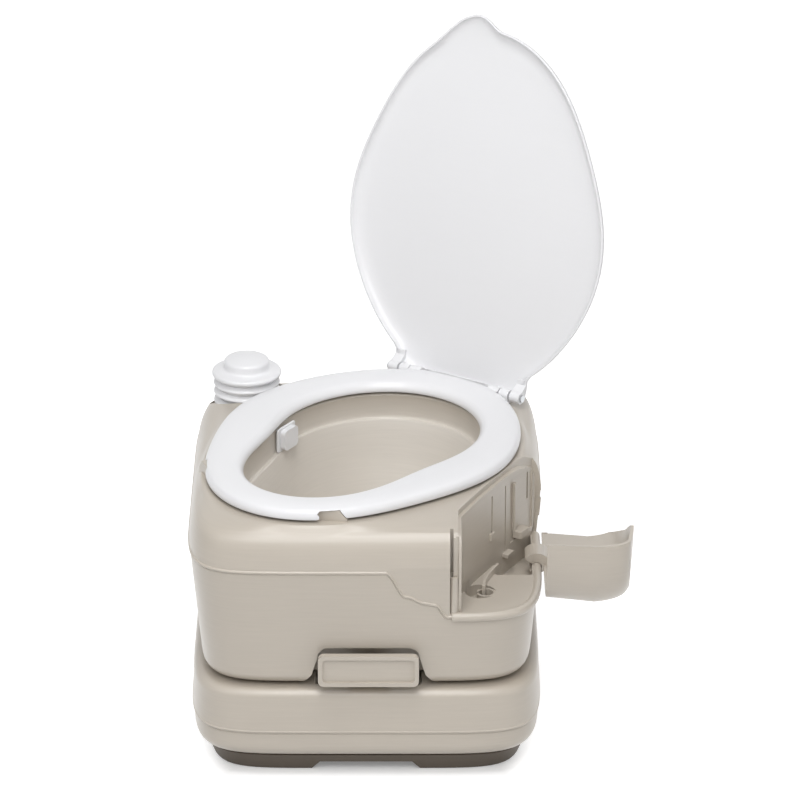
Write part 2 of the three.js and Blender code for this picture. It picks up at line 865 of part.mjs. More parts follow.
// Ribs, grooves, ledges, the front corner's post and slot, and the cup with its open ring
function nicheDetail(body) {
  const front = -halfDepth - overrun;
  const postRoom = block(
    postX - postRoomHalf,
    postX + postRoomHalf,
    front,
    -halfDepth + postRoomDepth,
    nicheFloor,
    deckLevel + overrun,
  );
  const slot = block(
    postX - postRoomHalf,
    postX - postRoomHalf + slotWidth,
    front,
    -halfDepth + slotDepth,
    postTop,
    deckLevel + overrun,
  );
  const post = upright(postRadius, postX, postY, nicheFloor - fit, postTop, smallSteps);
  const ribs = panelRibs.map(([width, foot, down], place) =>
    onNicheWall(ribShares[place], width, panelRise, panelRise, nicheFloor + foot, deckLevel - down),
  );
  const grooves = panelGrooves.map(([foot, down], place) =>
    onNicheWall(grooveShares[place], grooveWidth, grooveDepth, overrun, nicheFloor + foot, deckLevel - down),
  );
  const ledges = wallLedges.map(([width, reach, low, high], place) =>
    onNicheWall(ledgeShares[place], width, panelRise, reach, nicheFloor + low, nicheFloor + high),
  );
  const pitLeft = pitCornerShares[0] * halfWidth;
  const pitFront = pitCornerShares[1] * halfDepth;
  const pit = block(pitLeft, coverAxisX - lipRadius, pitFront, halfDepth, pitFloor, nicheFloor + fit);
  const pitShape = pit.intersect(profileAlongZ(nicheOutline(0), pitFloor - overrun, deckLevel));
  const cup = upright(cupRadius, cupX, cupY, nicheFloor - cupDepth, nicheFloor + overrun * 2);
  const cupRing = ringAt(
    cupRingRadius - cupRingWall,
    cupRingRadius,
    cupX + cupRadius - cupRingRadius + fit,
    cupY,
    nicheFloor - cupDepth - fit,
    nicheFloor,
    smallSteps,
  );
  const ringGap = block(
    cupX - cupRadius,
    cupX,
    cupY - cupRingWall,
    cupY + cupRingWall,
    nicheFloor - cupDepth,
    nicheFloor + overrun,
  );
  const hollowed = cutBy(body, [postRoom, slot, pitShape, ...grooves]);
  const raised = joined([hollowed, post, ...ledges, ...ribs]);
  return joined([raised.subtract(cup), cupRing.subtract(ringGap), ...curvedRib()]);
}

// The rib that curls from the cup along the pit, as a row of short walls
function curvedRib() {
  const path = curveShares.map(([x, y]) => [x * halfWidth, y * halfDepth]);
  return path.slice(1).map(([x1, y1], place) => {
    const [x0, y0] = path[place];
    const length = Math.hypot(x1 - x0, y1 - y0);
    const geometry = geometryFrom(
      block(-ribHalf, length + ribHalf, -ribHalf, ribHalf, nicheFloor - cupDepth - fit, nicheFloor + ribRise),
    );
    geometry.rotateZ(Math.atan2(y1 - y0, x1 - x0));
    geometry.translate(x0, y0, 0);
    return solidFrom(geometry);
  });
}

// Room for the cover's hinge strap, round the lip and down in front of the niche wall
function strapRoom() {
  const start = axisY(strapStart - partGap);
  const end = axisY(strapEnd + partGap);
  const well = block(
    coverAxisX - strapOuter - partGap,
    coverAxisX - strapInner / 2 + partGap,
    start.y,
    end.y,
    pitFloor,
    coverAxisLevel + strapOuter + partGap,
  );
  return rod(barrelRadius + partGap, start, end).add(well);
}

// Upper tank

function upperTank() {
  let body = bodyForm(0);
  const ledgePrism = loft([planRing(ledgeInset, shoulderStart), planRing(ledgeInset, deckLevel)]);
  const ledge = inHingeFrame(profileAlongZ(hingeLedge, shoulderStart - pivotLevel, deckLevel - pivotLevel));
  body = body.add(ledge.intersect(ledgePrism));

  const frameRoom = profileAlongZ(nicheOutline(nicheFrame), coverAxisLevel, deckLevel + overrun);
  body = body.add(bodyForm(-nicheFrameRise).intersect(frameRoom));
  const niche = profileAlongZ(nicheOutline(0), nicheFloor, deckLevel + bodyRound);
  const rebateRoom = profileAlongZ(nicheOutline(rebateWidth), nicheFloor, deckLevel + bodyRound);
  const rebate = rebateRoom.subtract(bodyForm(rebateDepth));
  body = nicheDetail(cutBy(body, [niche, rebate, strapRoom()]));
  body = body.add(bar(lipPath(), lipRadius, smallSteps));

  const pump = upright(pumpPocketRadius, pumpX, pumpY, pumpFloor, deckLevel + overrun);
  const pumpBore = upright(pumpTubeRadius + slideFit, pumpX, pumpY, pumpFloor - pumpTubeDepth, pumpFloor + overrun);
  const fill = upright(fillPocketRadius, fillPlace.x, fillPlace.y, fillFloor, deckLevel + overrun);
  const neck = upright(fillNeckRadius, fillPlace.x, fillPlace.y, fillFloor - fit, fillFloor + fillNeckHeight);
  const fillBore = upright(
    fillNeckRadius - fillCapWall,
    fillPlace.x,
    fillPlace.y,
    fillFloor - fillWellDepth,
    fillFloor + fillNeckHeight + overrun,
  );
  body = cutBy(body, [bowlHollow(), pump, pumpBore, fill]).add(neck).subtract(fillBore);
  body = joined([body, ...notchAngles.map(notchLug).map(inHingeFrame)]);

  const front = -halfDepth - overrun;
  const recessBack = -halfDepth + bodyDraft + handleRecessDepth;
  const recess = profileAlongY(
    [
      [valveX - handleRecessHalf - handleFlare, bodyBottom - overrun],
      [valveX + handleRecessHalf + handleFlare, bodyBottom - overrun],
      [valveX + handleRecessHalf + handleFlare / 3, bodyBottom + handleFlare / 3],
      ...arc(
        valveX + handleRecessHalf - bodyRound,
        handleRecessTop - bodyRound,
        bodyRound,
        0,
        quarter,
      ),
      ...arc(
        valveX - handleRecessHalf + bodyRound,
        handleRecessTop - bodyRound,
        bodyRound,
        quarter,
        halfTurn,
      ),
      [valveX - handleRecessHalf - handleFlare / 3, bodyBottom + handleFlare / 3],
    ],
    front,
    recessBack,
  );
  const tongueTop = tongueBottom + tongueThick + tongueRoom;
  const groove = block(
    valveX - tongueHalf - tongueRoom,
    valveX + tongueHalf + tongueRoom,
    front,
    inletY - valveReach,
    bodyBottom - overrun,
    tongueTop,
  );
  const latchRooms = [-latchX, latchX].map((x) =>
    block(
      x - latchWidth / 2 - partGap,
      x + latchWidth / 2 + partGap,
      latchY - latchHook - latchPocket / 2,
      bodyDepth,
      latchTop - latchHookThick - partGap,
      latchTop + partGap,
    ),
  );
  body = cutBy(body, [recess, groove, ...latchRooms]);
  hingeScrews.forEach(([aside, behind]) => {
    [-1, 1].forEach((side) => {
      const place = fromHingeFrame(new THREE.Vector3(side * aside, behind, 0));
      body = body.subtract(screwHole(place.x, place.y, deckLevel, screwLength));
    });
  });
  return body;
}

// Waste tank with its base

function tankForm() {
  const rings = [];
  arc(0, 0, tankFootRound, -quarter, 0).forEach(([out, up]) => {
    rings.push(tankRing(tankInset + tankDraft + tankFootRound - out, tankBottom + tankFootRound + up));
  });
  rings.push(tankRing(tankInset + tankDraft, tankBeadLevel - beadHalf));
  rings.push(tankRing(tankInset - beadRise, tankBeadLevel - beadHalf / 2));
  rings.push(tankRing(tankInset - beadRise, tankBeadLevel + beadHalf / 2));
  rings.push(tankRing(tankInset, tankBeadLevel + beadHalf));
  arc(0, 0, tankTopRound, 0, quarter).forEach(([out, up]) => {
    rings.push(tankRing(tankInset + tankDraft + tankTopRound - out, tankTop - tankTopRound + up));
  });
  return loft(rings);
}

function latchRoomBelow(x, margin) {
  return block(
    x - latchWidth / 2 - partGap - margin,
    x + latchWidth / 2 + partGap + margin,
    latchY - latchPocket - margin,
    bodyDepth,
    latchPivotLevel - latchTail - partGap - margin,
    tankTop + overrun,
  );
}

function valveScrewPlaces() {
  const places = [];
  [-1, 1].forEach((acrossSide) => {
    [-1, 1].forEach((alongSide) => {
      places.push([
        valveX + acrossSide * (valveHalf - valveScrewInset),
        inletY + alongSide * (valveReach - valveScrewInset),
      ]);
    });
  });
  return places;
}

function wasteTank() {
  let tank = tankForm();
  const hollowTop = valveFloor - tankFloorWall;
  const bayFront = halfDepth - bayDepth;
  let hollow = loft([
    tankRing(tankInset + tankDraft + tankWall + tankFootRound / 2, tankBottom + tankWall),
    tankRing(tankInset + tankDraft + tankWall, tankBottom + tankFootRound),
    tankRing(tankInset + tankDraft + tankWall, hollowTop),
  ]);
  hollow = hollow.subtract(
    block(
      -bayHalf - tankWall,
      bayHalf + tankWall,
      bayFront - tankWall,
      bodyDepth,
      bayFloor - tankFloorWall,
      tankTop,
    ),
  );
  [-latchX, latchX].forEach((x) => {
    hollow = hollow.subtract(latchRoomBelow(x, tankWall));
  });
  valveScrewPlaces().forEach(([x, y]) => {
    hollow = hollow.subtract(upright(bossRadius, x, y, valveFloor - valveScrewLength, tankTop, smallSteps));
  });
  const inlet = upright(inletRadius, valveX, inletY, hollowTop - overrun, tankTop + overrun);
  const channel = block(
    valveX - channelHalf,
    valveX + channelHalf,
    -channelFront,
    inletY,
    valveFloor,
    tankTop + overrun,
  );
  const seatRoom = block(
    valveX - valveHalf - fit,
    valveX + valveHalf + fit,
    inletY - valveReach - fit,
    inletY + valveReach + fit,
    valveFloor,
    tankTop + overrun,
  );
  const sealRoom = ringAt(
    inletRadius + sealLand - fit,
    inletRadius + sealLand + sealWidth + fit,
    valveX,
    inletY,
    valveFloor - sealThick,
    valveFloor + overrun,
  );
  const bay = block(-bayHalf, bayHalf, bayFront, bodyDepth, bayFloor, tankTop + overrun);
  const spoutHole = upright(spoutRadius - spoutWall, spoutX, spoutY, tankBottom + tankWall * 2, bayFloor + overrun);
  const ventHole = upright(ventStem + slideFit, ventX, ventY, tankBottom + tankWall * 2, bayFloor + overrun, smallSteps);
  const rails = [-1, 1].map((side) =>
    block(
      side * railMiddle - railWidth / 2,
      side * railMiddle + railWidth / 2,
      -railReach,
      railReach,
      tankTop - overrun,
      bodyBottom - fit,
    ),
  );
  tank = cutBy(joined([tank, ...rails]), [hollow, inlet, channel, seatRoom, sealRoom, bay, spoutHole, ventHole]);
  [-latchX, latchX].forEach((x) => {
    tank = tank.subtract(latchRoomBelow(x, 0));
    const pinRoom = latchWidth / 2 + partGap + tankWall;
    tank = tank.subtract(
      rod(
        latchPinRadius + fit,
        new THREE.Vector3(x - pinRoom, latchY, latchPivotLevel),
        new THREE.Vector3(x + pinRoom, latchY, latchPivotLevel),
        smallSteps,
      ),
    );
  });
  valveScrewPlaces().forEach(([x, y]) => {
    tank = tank.subtract(screwHole(x, y, valveFloor + frameThick, valveScrewLength));
  });
  return tank;
}

function baseTray() {
  const rings = [
    tankRing(baseBottomInset + baseFloorRound, 0),
    tankRing(baseBottomInset, baseFloorRound),
    tankRing(baseTopInset, tankBottom - fit),
  ];
  const arch = profileAlongY(
    [
      [-archBottomHalf, -overrun],
      [archBottomHalf, -overrun],
      [archBottomHalf, 0],
      [archTopHalf, archHeight],
      [-archTopHalf, archHeight],
      [-archBottomHalf, 0],
    ],
    -bodyDepth,
    -halfDepth + archDepth,
  );
  const archBehind = profileAlongY(
    [
      [-archBottomHalf, -overrun],
      [archBottomHalf, -overrun],
      [archBottomHalf, 0],
      [archTopHalf, archHeight],
      [-archTopHalf, archHeight],
      [-archBottomHalf, 0],
    ],
    halfDepth - archDepth,
    bodyDepth,
  );
  return cutBy(loft(rings), [arch, archBehind]);
}

// Slide valve

function valveFrame() {
  const bottom = valveFloor + fit;
  let frame = block(
    valveX - valveHalf,
    valveX + valveHalf,
    inletY - valveReach,
    inletY + valveReach,
    bottom,
    valveFloor + frameThick,
  );
  frame = frame.subtract(upright(inletRadius, valveX, inletY, bottom - overrun, tankTop + overrun));
  frame = frame.subtract(
    block(
      valveX - bladeHalf - slideFit,
      valveX + bladeHalf + slideFit,
      inletY - valveReach - overrun,
      inletY + bladeBackReach + slideFit,
      bladeBottom - slideFit,
      bladeBottom + bladeThick + slideFit,
    ),
  );
  valveScrewPlaces().forEach(([x, y]) => {
    frame = frame.subtract(screwHole(x, y, valveFloor + frameThick, valveScrewLength));
  });
  return frame;
}

function valveBlade() {
  const front = inletY - bladeFrontReach;
  const plate = block(
    valveX - bladeHalf,
    valveX + bladeHalf,
    front,
    inletY + bladeBackReach,
    bladeBottom,
    bladeBottom + bladeThick,
  );
  const tongueTop = tongueBottom + tongueThick;
  const step = block(
    valveX - tongueHalf,
    valveX + tongueHalf,
    front,
    inletY - valveReach - partGap,
    bladeBottom,
    tongueTop,
  );
  const tongue = block(
    valveX - tongueHalf,
    valveX + tongueHalf,
    -handleFront + webReach - handleThick,
    front + overrun,
    tongueBottom,
    tongueTop,
  );
  const web = profileAlongX(
    [
      [-handleFront - handleThick / 2, handleBottom + handleHeight / 2],
      [-handleFront - handleThick / 2, handleBottom],
      [-handleFront + webReach - handleThick, tongueBottom],
      [-handleFront + webReach, tongueBottom],
      [-handleFront + webReach, handleBottom + handleHeight / 2],
    ],
    valveX - tongueHalf,
    valveX + tongueHalf,
  );
  let handle = profileAlongY(
    roundedRectangle(
      valveX - handleWidth / 2,
      valveX + handleWidth / 2,
      handleBottom,
      handleBottom + handleHeight,
      handleCorner,
    ),
    -handleFront - handleThick,
    -handleFront,
  );
  handle = handle.subtract(
    profileAlongY(
      roundedRectangle(
        valveX - handleWidth / 2 + handleRim,
        valveX + handleWidth / 2 - handleRim,
        handleBottom + handleRim,
        handleBottom + handleHeight - handleRim,
        handleCorner - handleSink,
      ),
      -handleFront - handleThick - overrun,
      -handleFront - handleThick + handleSink,
    ),
  );
  return joined([plate, step, tongue, web, handle]);
}

// Seat, lid and hinge in the hinge's own frame

function seatSection(alpha) {
  const lower = -seatDrop;
  const upper = seatThick - seatDrop;
  const outer = (inward, z) => {
    const point = seatEdge(alpha, -inward);
    point.z = z;
    return point;
  };
  const inner = (outward, z) => {
    const point = holeEdge(alpha, outward);
    point.z = z;
    return point;
  };
  const crown = outer(0, upper).lerp(inner(0, upper), crownShare);
  return [
    outer(seatEdgeRound / 2, lower),
    outer(0, lower + seatEdgeRound / 2),
    outer(0, upper - seatTopRound),
    outer(seatEdgeRound, upper - seatEdgeRound),
    crown,
    inner(seatTopRound, upper - seatEdgeRound / 2),
    inner(seatEdgeRound, upper - seatEdgeRound * 1.5),
    inner(0, upper - seatTopRound - seatEdgeRound / 2),
    inner(0, lower + seatEdgeRound / 2),
    inner(seatEdgeRound / 2, lower),
    inner(seatWall, lower),
    inner(seatWall + seatEdgeRound / 2, upper - seatTopRound),
    outer(seatWall + seatEdgeRound / 2, upper - seatTopRound),
    outer(seatWall, lower),
  ];
}

function knuckle(side, start, width, radius) {
  const from = new THREE.Vector3(side * start, 0, 0);
  const to = new THREE.Vector3(side * (start + width), 0, 0);
  return rod(radius, from, to, smallSteps);
}

function sideBlock(side, start, width, y0, y1, z0, z1) {
  const ends = [side * start, side * (start + width)];
  return block(Math.min(...ends), Math.max(...ends), y0, y1, z0, z1);
}

function pinHole(side) {
  return knuckle(side, pinStart - overrun, pinLength + overrun * 2, pinRadius + fit);
}

function seat() {
  let ring = hoop(eggAngles.map(seatSection));
  const wide = bodyWidth;
  ring = ring.subtract(block(-wide, wide, -seatBackEdge, wide, -seatThick * 2, seatThick * 2));
  [-1, 1].forEach((side) => {
    const cornerStart = knuckleStart + knuckleWidth;
    ring = ring.subtract(
      sideBlock(side, cornerStart, wide, -seatCornerCut, wide, -seatThick * 2, seatThick * 2),
    );
    ring = ring.add(knuckle(side, knuckleStart, knuckleWidth, knuckleRadius));
    ring = ring.add(
      sideBlock(
        side,
        knuckleStart,
        knuckleWidth,
        -seatCornerCut - seatWall,
        0,
        -seatDrop,
        seatThick - seatDrop - seatEdgeRound,
      ),
    );
  });
  ring = cutBy(ring, [pinHole(-1), pinHole(1)]);
  return cutBy(ring, notchAngles.map(notchTool));
}

// A form carried up in one of the notches under the seat's edge, with its back to the hole
function inNotch(outline, low, high, angle, count) {
  const geometry = geometryFrom(profileAlongZ(outline, low, high));
  const place = seatEdge(angle, notchOut[count]);
  geometry.rotateZ(angle);
  geometry.translate(place.x, place.y, 0);
  return solidFrom(geometry);
}

function notchTool(angle, count) {
  const wide = notchHalf + notchFlare;
  const outline = [[-wide, -notchDepth], [wide, -notchDepth], [notchHalf, notchDepth], [-notchHalf, notchDepth]];
  return inNotch(outline, -seatThick, notchTop, angle, count);
}

// The lug on the deck that stands in a notch of the seat
function notchLug(angle, count) {
  const front = notchHalf + notchFlare / 2 - partGap * 2;
  const back = notchHalf - partGap * 2;
  const outline = [[-front, -lugOut], [front, -lugOut], [back, notchDepth - partGap], [-back, notchDepth - partGap]];
  return inNotch(outline, -pivotRise - bodyRound, notchTop - partGap, angle, count);
}

function noseBump(alpha) {
  const reach = eggReach(eggMean, eggStretch, eggPoint, eggFlat, alpha);
  const away = Math.abs(reach * Math.sin(alpha) + noseOffset) / noseHalf;
  if (away >= 1 || Math.cos(alpha) < 0) return 0;
  return noseReach * Math.cos(quarter * away) ** 2;
}

function lidRing(inward, z, bumpShare) {
  return eggAngles.map((alpha) => {
    const point = seatEdge(alpha, lidOverhang - inward + noseBump(alpha) * bumpShare);
    point.z = z;
    return point;
  });
}

function lidRings(shares, inset) {
  return shares.map(([inShare, upShare, bumpShare]) =>
    lidRing(inset + eggMean * inShare, lidRim + lidRise * upShare, bumpShare),
  );
}

function lidEar(side) {
  const outline = [
    ...arc(0, 0, knuckleRadius, 0, -halfTurn / 2, arcSteps),
    [-earNeck, lidRim],
    [-earReach, lidRim],
    [-earReach, lidRim + lidRise / 2],
    [0, lidRim + lidRise / 3],
    [knuckleRadius, 0],
  ];
  const ends = [side * earStart, side * (earStart + earWidth)];
  return profileAlongX(outline.slice(0, -1), Math.min(...ends), Math.max(...ends));
}

function lid() {
  const outer = loft(lidRings(lidCrownShares, 0));
  const inner = loft([lidRing(lidWall, lidRim - overrun, 1), ...lidRings(lidHollowShares, lidWall)]);
  const wide = bodyWidth;
  let shell = outer.subtract(inner.subtract(block(-wide, wide, -lidBackEdge - lidWall, wide, -wide, wide)));
  shell = shell.subtract(block(-wide, wide, -lidBackEdge, wide, -wide, wide));
  shell = joined([shell, lidEar(-1), lidEar(1)]);
  return cutBy(shell, [pinHole(-1), pinHole(1)]);
}

function hingeBracket(side) {
  const bottom = deckLevel - pivotLevel + fit;
  const outline = [
    [-postHalf, bottom],
    [postHalf, bottom],
    ...arc(0, 0, knuckleRadius, 0, halfTurn, smallSteps / 2),
  ];
  const ends = [side * postStart, side * (postStart + postWidth)];
  const post = profileAlongX(outline, Math.min(...ends), Math.max(...ends));
  const foot = profileAlongZ(
    hingeFoot.map(([aside, behind]) => [side * aside, behind]),
    bottom,
    bottom + hingeFootThick,
  );
  const bracket = cutBy(post.add(foot), [pinHole(side)]);
  return cutBy(
    bracket,
    hingeScrews.map(([aside, behind]) => screwHole(side * aside, behind, bottom + hingeFootThick, screwLength)),
  );
}

function hingePin(side) {
  const shaft = knuckle(side, pinStart, pinLength, pinRadius);
  return shaft.add(knuckle(side, pinStart + pinLength - pinHeadThick / 2, pinHeadThick, pinHeadRadius));
}

// Cover of the paper niche, closed, measured from its own hinge axis

function paperCover() {
  const shell = bodyForm(0).subtract(bodyForm(coverWall));
  const bottom = coverAxisLevel + lipRadius + coverFootGap;
  const room = profileAlongZ(nicheOutline(rebateWidth - partGap), bottom, deckLevel + overrun);
  const hook = (inner, outer, from, sweep) =>
    profileAlongY(
      [
        ...arc(coverAxisX, coverAxisLevel, outer, from, from + sweep, smallSteps),
        ...arc(coverAxisX, coverAxisLevel, inner, from + sweep, from, smallSteps),
      ],
      strapStart,
      strapEnd,
    );
  const strap = hook(strapInner, strapOuter, strapFrom, strapSweep);
  const barrel = hook(lipRadius, barrelRadius, barrelFrom, strapFrom + strapSweep - barrelFrom);
  const web = block(
    halfWidth - coverWall,
    halfWidth,
    strapStart,
    strapEnd,
    coverAxisLevel,
    bottom + overrun,
  );
  const bore = rod(lipRadius + slideFit, axisY(strapStart - overrun), axisY(strapEnd + overrun));
  const cover = joined([shell.intersect(room), barrel, web, strap]).subtract(bore);
  return cover.translate([-coverAxisX, 0, -coverAxisLevel]);
}

// Bellows pump

function bellows() {
  const low = collarTop + fit;
  const pitch = (bellowsTop - low) / bellowsCount;
  const outside = [];
  const inside = [];
  for (let turn = 0; turn < bellowsCount; turn++) {
    const z = low + pitch * turn;
    const radii = [bellowsRadius, bellowsRadius, bellowsWaist];
    bellowsFoldShares.forEach((share, bend) => {
      const radius = radii[bend];
      outside.push([radius, z + pitch * share]);
      inside.unshift([radius - bellowsWall, z + pitch * share]);
    });
  }
  outside.push([bellowsRadius, bellowsTop]);
  inside.unshift([bellowsRadius - bellowsWall, bellowsTop]);
  return turned([...outside, ...inside, outside[0]], pumpX, pumpY);
}

function pumpCap() {
  const low = bellowsTop + fit;
  const rim = pumpFlangeThick / 4;
  const button = low + pumpFlangeThick + pumpButtonRise;
  return turned(
    [
      [0, low],
      [pumpFlangeRadius - rim, low],
      [pumpFlangeRadius, low + rim],
      [pumpFlangeRadius, low + pumpFlangeThick - rim],
      [pumpFlangeRadius - rim, low + pumpFlangeThick],
      [pumpButtonRadius + rim, low + pumpFlangeThick + rim / 2],
      [pumpButtonRadius, low + pumpFlangeThick + rim * 2],
      [pumpButtonRadius, button - rim * 2],
      [pumpButtonRadius - rim, button],
      [pumpButtonRadius / 2, button + pumpDomeRise * 0.8],
      [0, button + pumpDomeRise],
    ],
    pumpX,
    pumpY,
  );
}

function pumpCollar() {
  const outer = pumpPocketRadius - fit;
  return ringAt(outer - collarWidth * 2, outer, pumpX, pumpY, pumpFloor + fit, collarTop);
}

function pumpTube() {
  const flangeBottom = pumpFloor + fit;
  const flangeTop = flangeBottom + pumpTubeWall;
  const bottom = pumpFloor - pumpTubeDepth + fit;
  const inner = pumpTubeRadius - pumpTubeWall;
  return turned(
    [
      [inner - pumpRodRadius, bottom],
      [pumpTubeRadius, bottom],
      [pumpTubeRadius, flangeBottom],
      [pumpPocketRadius - collarWidth * 2 - fit * 2, flangeBottom],
      [pumpPocketRadius - collarWidth * 2 - fit * 2, flangeTop],
      [inner, flangeTop],
      [inner, bottom + pumpTubeWall],
      [inner - pumpRodRadius, bottom + pumpTubeWall],
      [inner - pumpRodRadius, bottom],
    ],
    pumpX,
    pumpY,
  );
}

function pumpRod() {
  const top = bellowsTop;
  const bottom = top - pumpRodLength;
  const piston = pumpTubeRadius - pumpTubeWall - slideFit;
  return joined([
    upright(pumpRodRadius, pumpX, pumpY, bottom, top, smallSteps),
    upright(piston, pumpX, pumpY, bottom, bottom + pumpPistonThick),
  ]);
}

// Fill opening

function fillCap() {
  const bottom = fillFloor + partGap;
  const top = bottom + fillCapHeight;
  const innerTop = fillFloor + fillNeckHeight + fillSealThick + fit * 2;
  const groove = fillCapWall / 2;
  return turned(
    [
      [fillNeckRadius + slideFit, bottom],
      [fillCapRadius, bottom],
      [fillCapRadius, top - groove],
      [fillCapRadius - groove, top],
      [0, top],
      [0, innerTop],
      [fillNeckRadius + slideFit, innerTop],
      [fillNeckRadius + slideFit, bottom],
    ],
    fillPlace.x,
    fillPlace.y,
  ).subtract(
    joined(
      Array.from({ length: smallSteps }, (_, place) => {
        const angle = (fullTurn * place) / smallSteps;
        const x = fillPlace.x + fillCapRadius * Math.cos(angle);
        const y = fillPlace.y + fillCapRadius * Math.sin(angle);
        return upright(groove, x, y, bottom - overrun, top + overrun, smallSteps / 2);
      }),
    ),
  );
}

function fillSeal() {
  const bottom = fillFloor + fillNeckHeight + fit;
  return ringAt(
    fillNeckRadius - fillSealWidth,
    fillNeckRadius,
    fillPlace.x,
    fillPlace.y,
    bottom,
    bottom + fillSealThick,
  );
}

// Flush nozzle on the bowl wall, in the hinge's own frame

function nozzlePlate() {
  const wall = bowlSideReach - nozzleSetOff;
  const half = nozzleWidth / 2 + nozzlePlateMargin;
  return block(
    -wall,
    -wall + nozzlePlateThick,
    -nozzleAlong - half,
    -nozzleAlong + half,
    nozzleLevel - nozzleHeight / 2 - nozzlePlateFoot - pivotLevel,
    nozzleLevel + nozzleHeight / 2 + nozzlePlateFoot - pivotLevel,
  ).subtract(
    rod(
      nozzleBore,
      new THREE.Vector3(-wall - overrun, -nozzleAlong, nozzleLevel - pivotLevel),
      new THREE.Vector3(-wall + nozzlePlateThick + overrun, -nozzleAlong, nozzleLevel - pivotLevel),
      smallSteps,
    ),
  );
}

function nozzleHood() {
  const back = -bowlSideReach + nozzleSetOff + nozzlePlateThick + fit;
  const front = back + nozzleDepth;
  const outline = roundedRectangle(
    -nozzleAlong - nozzleWidth / 2,
    -nozzleAlong + nozzleWidth / 2,
    nozzleLevel - nozzleHeight / 2 - pivotLevel,
    nozzleLevel + nozzleHeight / 2 - pivotLevel,
    nozzleBore,
  );
  const room = block(
    back - overrun,
    front - lidWall,
    -nozzleAlong - nozzleWidth / 2 + lidWall,
    -nozzleAlong + nozzleWidth / 2 - lidWall,
    nozzleLevel - nozzleHeight - pivotLevel,
    nozzleLevel + nozzleHeight / 2 - lidWall - pivotLevel,
  );
  return profileAlongX(outline, back, front).subtract(room);
}

// Pour spout, its cap and the vent button

function spout() {
  const heel = new THREE.Vector3(spoutX, spoutY, spoutLevel);
  const foot = new THREE.Vector3(spoutX, spoutY, bayFloor + fit);
  const end = new THREE.Vector3(spoutX + spoutReach, spoutY, spoutLevel);
  const ball = new THREE.SphereGeometry(spoutRadius, roundSteps / 2, smallSteps);
  ball.translate(heel.x, heel.y, heel.z);
  const flange = upright(
    spoutRadius + spoutFlange,
    spoutX,
    spoutY,
    bayFloor + fit,
    bayFloor + fit + spoutFlange / 2,
  );
  const outside = joined([rod(spoutRadius, foot, heel), rod(spoutRadius, heel, end), solidFrom(ball), flange]);
  const bore = spoutRadius - spoutWall;
  const below = foot.clone();
  below.z -= overrun;
  const beyond = end.clone();
  beyond.x += overrun;
  const hollowBall = new THREE.SphereGeometry(bore, roundSteps / 2, smallSteps);
  hollowBall.translate(heel.x, heel.y, heel.z);
  return cutBy(outside, [rod(bore, below, heel), rod(bore, heel, beyond), solidFrom(hollowBall)]);
}

function spoutCollar() {
  const outer = spoutRadius + spoutFlange * 2;
  const low = bayFloor + fit;
  const mid = low + spoutFlange / 2 + fit;
  const high = mid + spoutFlange;
  const inner = spoutRadius + slideFit;
  const room = spoutRadius + spoutFlange + slideFit;
  return turned(
    [[room, low], [outer, low], [outer, high], [inner, high], [inner, mid], [room, mid], [room, low]],
    spoutX,
    spoutY,
  );
}

function spoutCap() {
  const start = spoutX + spoutReach - spoutCapLength + spoutCapWall + fit;
  const end = start + spoutCapLength;
  const outer = spoutRadius + slideFit + spoutCapWall;
  const at = (x) => new THREE.Vector3(x, spoutY, spoutLevel);
  const shell = rod(outer, at(start), at(end));
  return shell.subtract(rod(spoutRadius + slideFit, at(start - overrun), at(end - spoutCapWall)));
}

function ventButton() {
  const bottom = bayFloor + fit + ventTravel;
  return joined([
    upright(ventRadius, ventX, ventY, bottom, bottom + ventHeight),
    upright(ventStem, ventX, ventY, bayFloor - ventHeight, bottom + overrun, smallSteps),
  ]);
}

function ventCollar() {
  const inner = ventRadius + slideFit;
  return ringAt(inner, inner + spoutFlange, ventX, ventY, bayFloor + fit, bayFloor + fit + ventCollarHeight);
}

// Rear latches that hold the two tanks together, each measured from its own pin

function latch() {
  const high = latchTop - latchPivotLevel;
  const half = latchWidth / 2;
  const plate = profileAlongX(
    [
      [latchThick / 2, -latchTail],
      [latchThick / 2, high],
      [-latchThick / 2 - latchHook, high],
      [-latchThick / 2 - latchHook, high - latchHookThick],
      [-latchThick / 2, high - latchHookThick],
      [-latchThick / 2, -latchTail],
    ],
    -half,
    half,
  );
  const eye = rod(
    latchPinRadius + latchThick / 2,
    new THREE.Vector3(-half, 0, 0),
    new THREE.Vector3(half, 0, 0),
    smallSteps,
  );
  const bore = rod(
    latchPinRadius + fit,
    new THREE.Vector3(-half - overrun, 0, 0),
    new THREE.Vector3(half + overrun, 0, 0),
    smallSteps,
  );
  return plate.add(eye).subtract(bore);
}

function latchPin() {
  const half = latchWidth / 2 + partGap + tankWall - fit;
  return rod(latchPinRadius, new THREE.Vector3(-half, 0, 0), new THREE.Vector3(half, 0, 0), smallSteps);
}

// The whole object

const group = new THREE.Group();

function place(name, solid, material, parent = group) {
  const mesh = new THREE.Mesh(geometryFrom(solid), material);
  mesh.name = name;
  parent.add(mesh);
  return mesh;
}

place("base_tray", baseTray(), basePlastic);
place("waste_tank", wasteTank(), bodyPlastic);
place("upper_tank", upperTank(), bodyPlastic);

place("valve_frame", valveFrame(), basePlastic);
place("valve_blade", valveBlade(), bodyPlastic);
place(
  "inlet_seal",
  ringAt(
    inletRadius + sealLand,
    inletRadius + sealLand + sealWidth,
    valveX,
    inletY,
    valveFloor - sealThick + fit,
    valveFloor,
  ),
  sealRubber,
);
place(
  "outlet_seal",
  ringAt(
    inletRadius + sealLand,
    inletRadius + sealLand + sealWidth,
    valveX,
    inletY,
    valveFloor + frameThick + fit,
    bodyBottom - fit,
  ),
  sealRubber,
);
valveScrewPlaces().forEach(([x, y], count) => {
  place(`valve_screw_${count + 1}`, screwDown(x, y, valveFloor + frameThick, valveScrewLength), pinSteel);
});

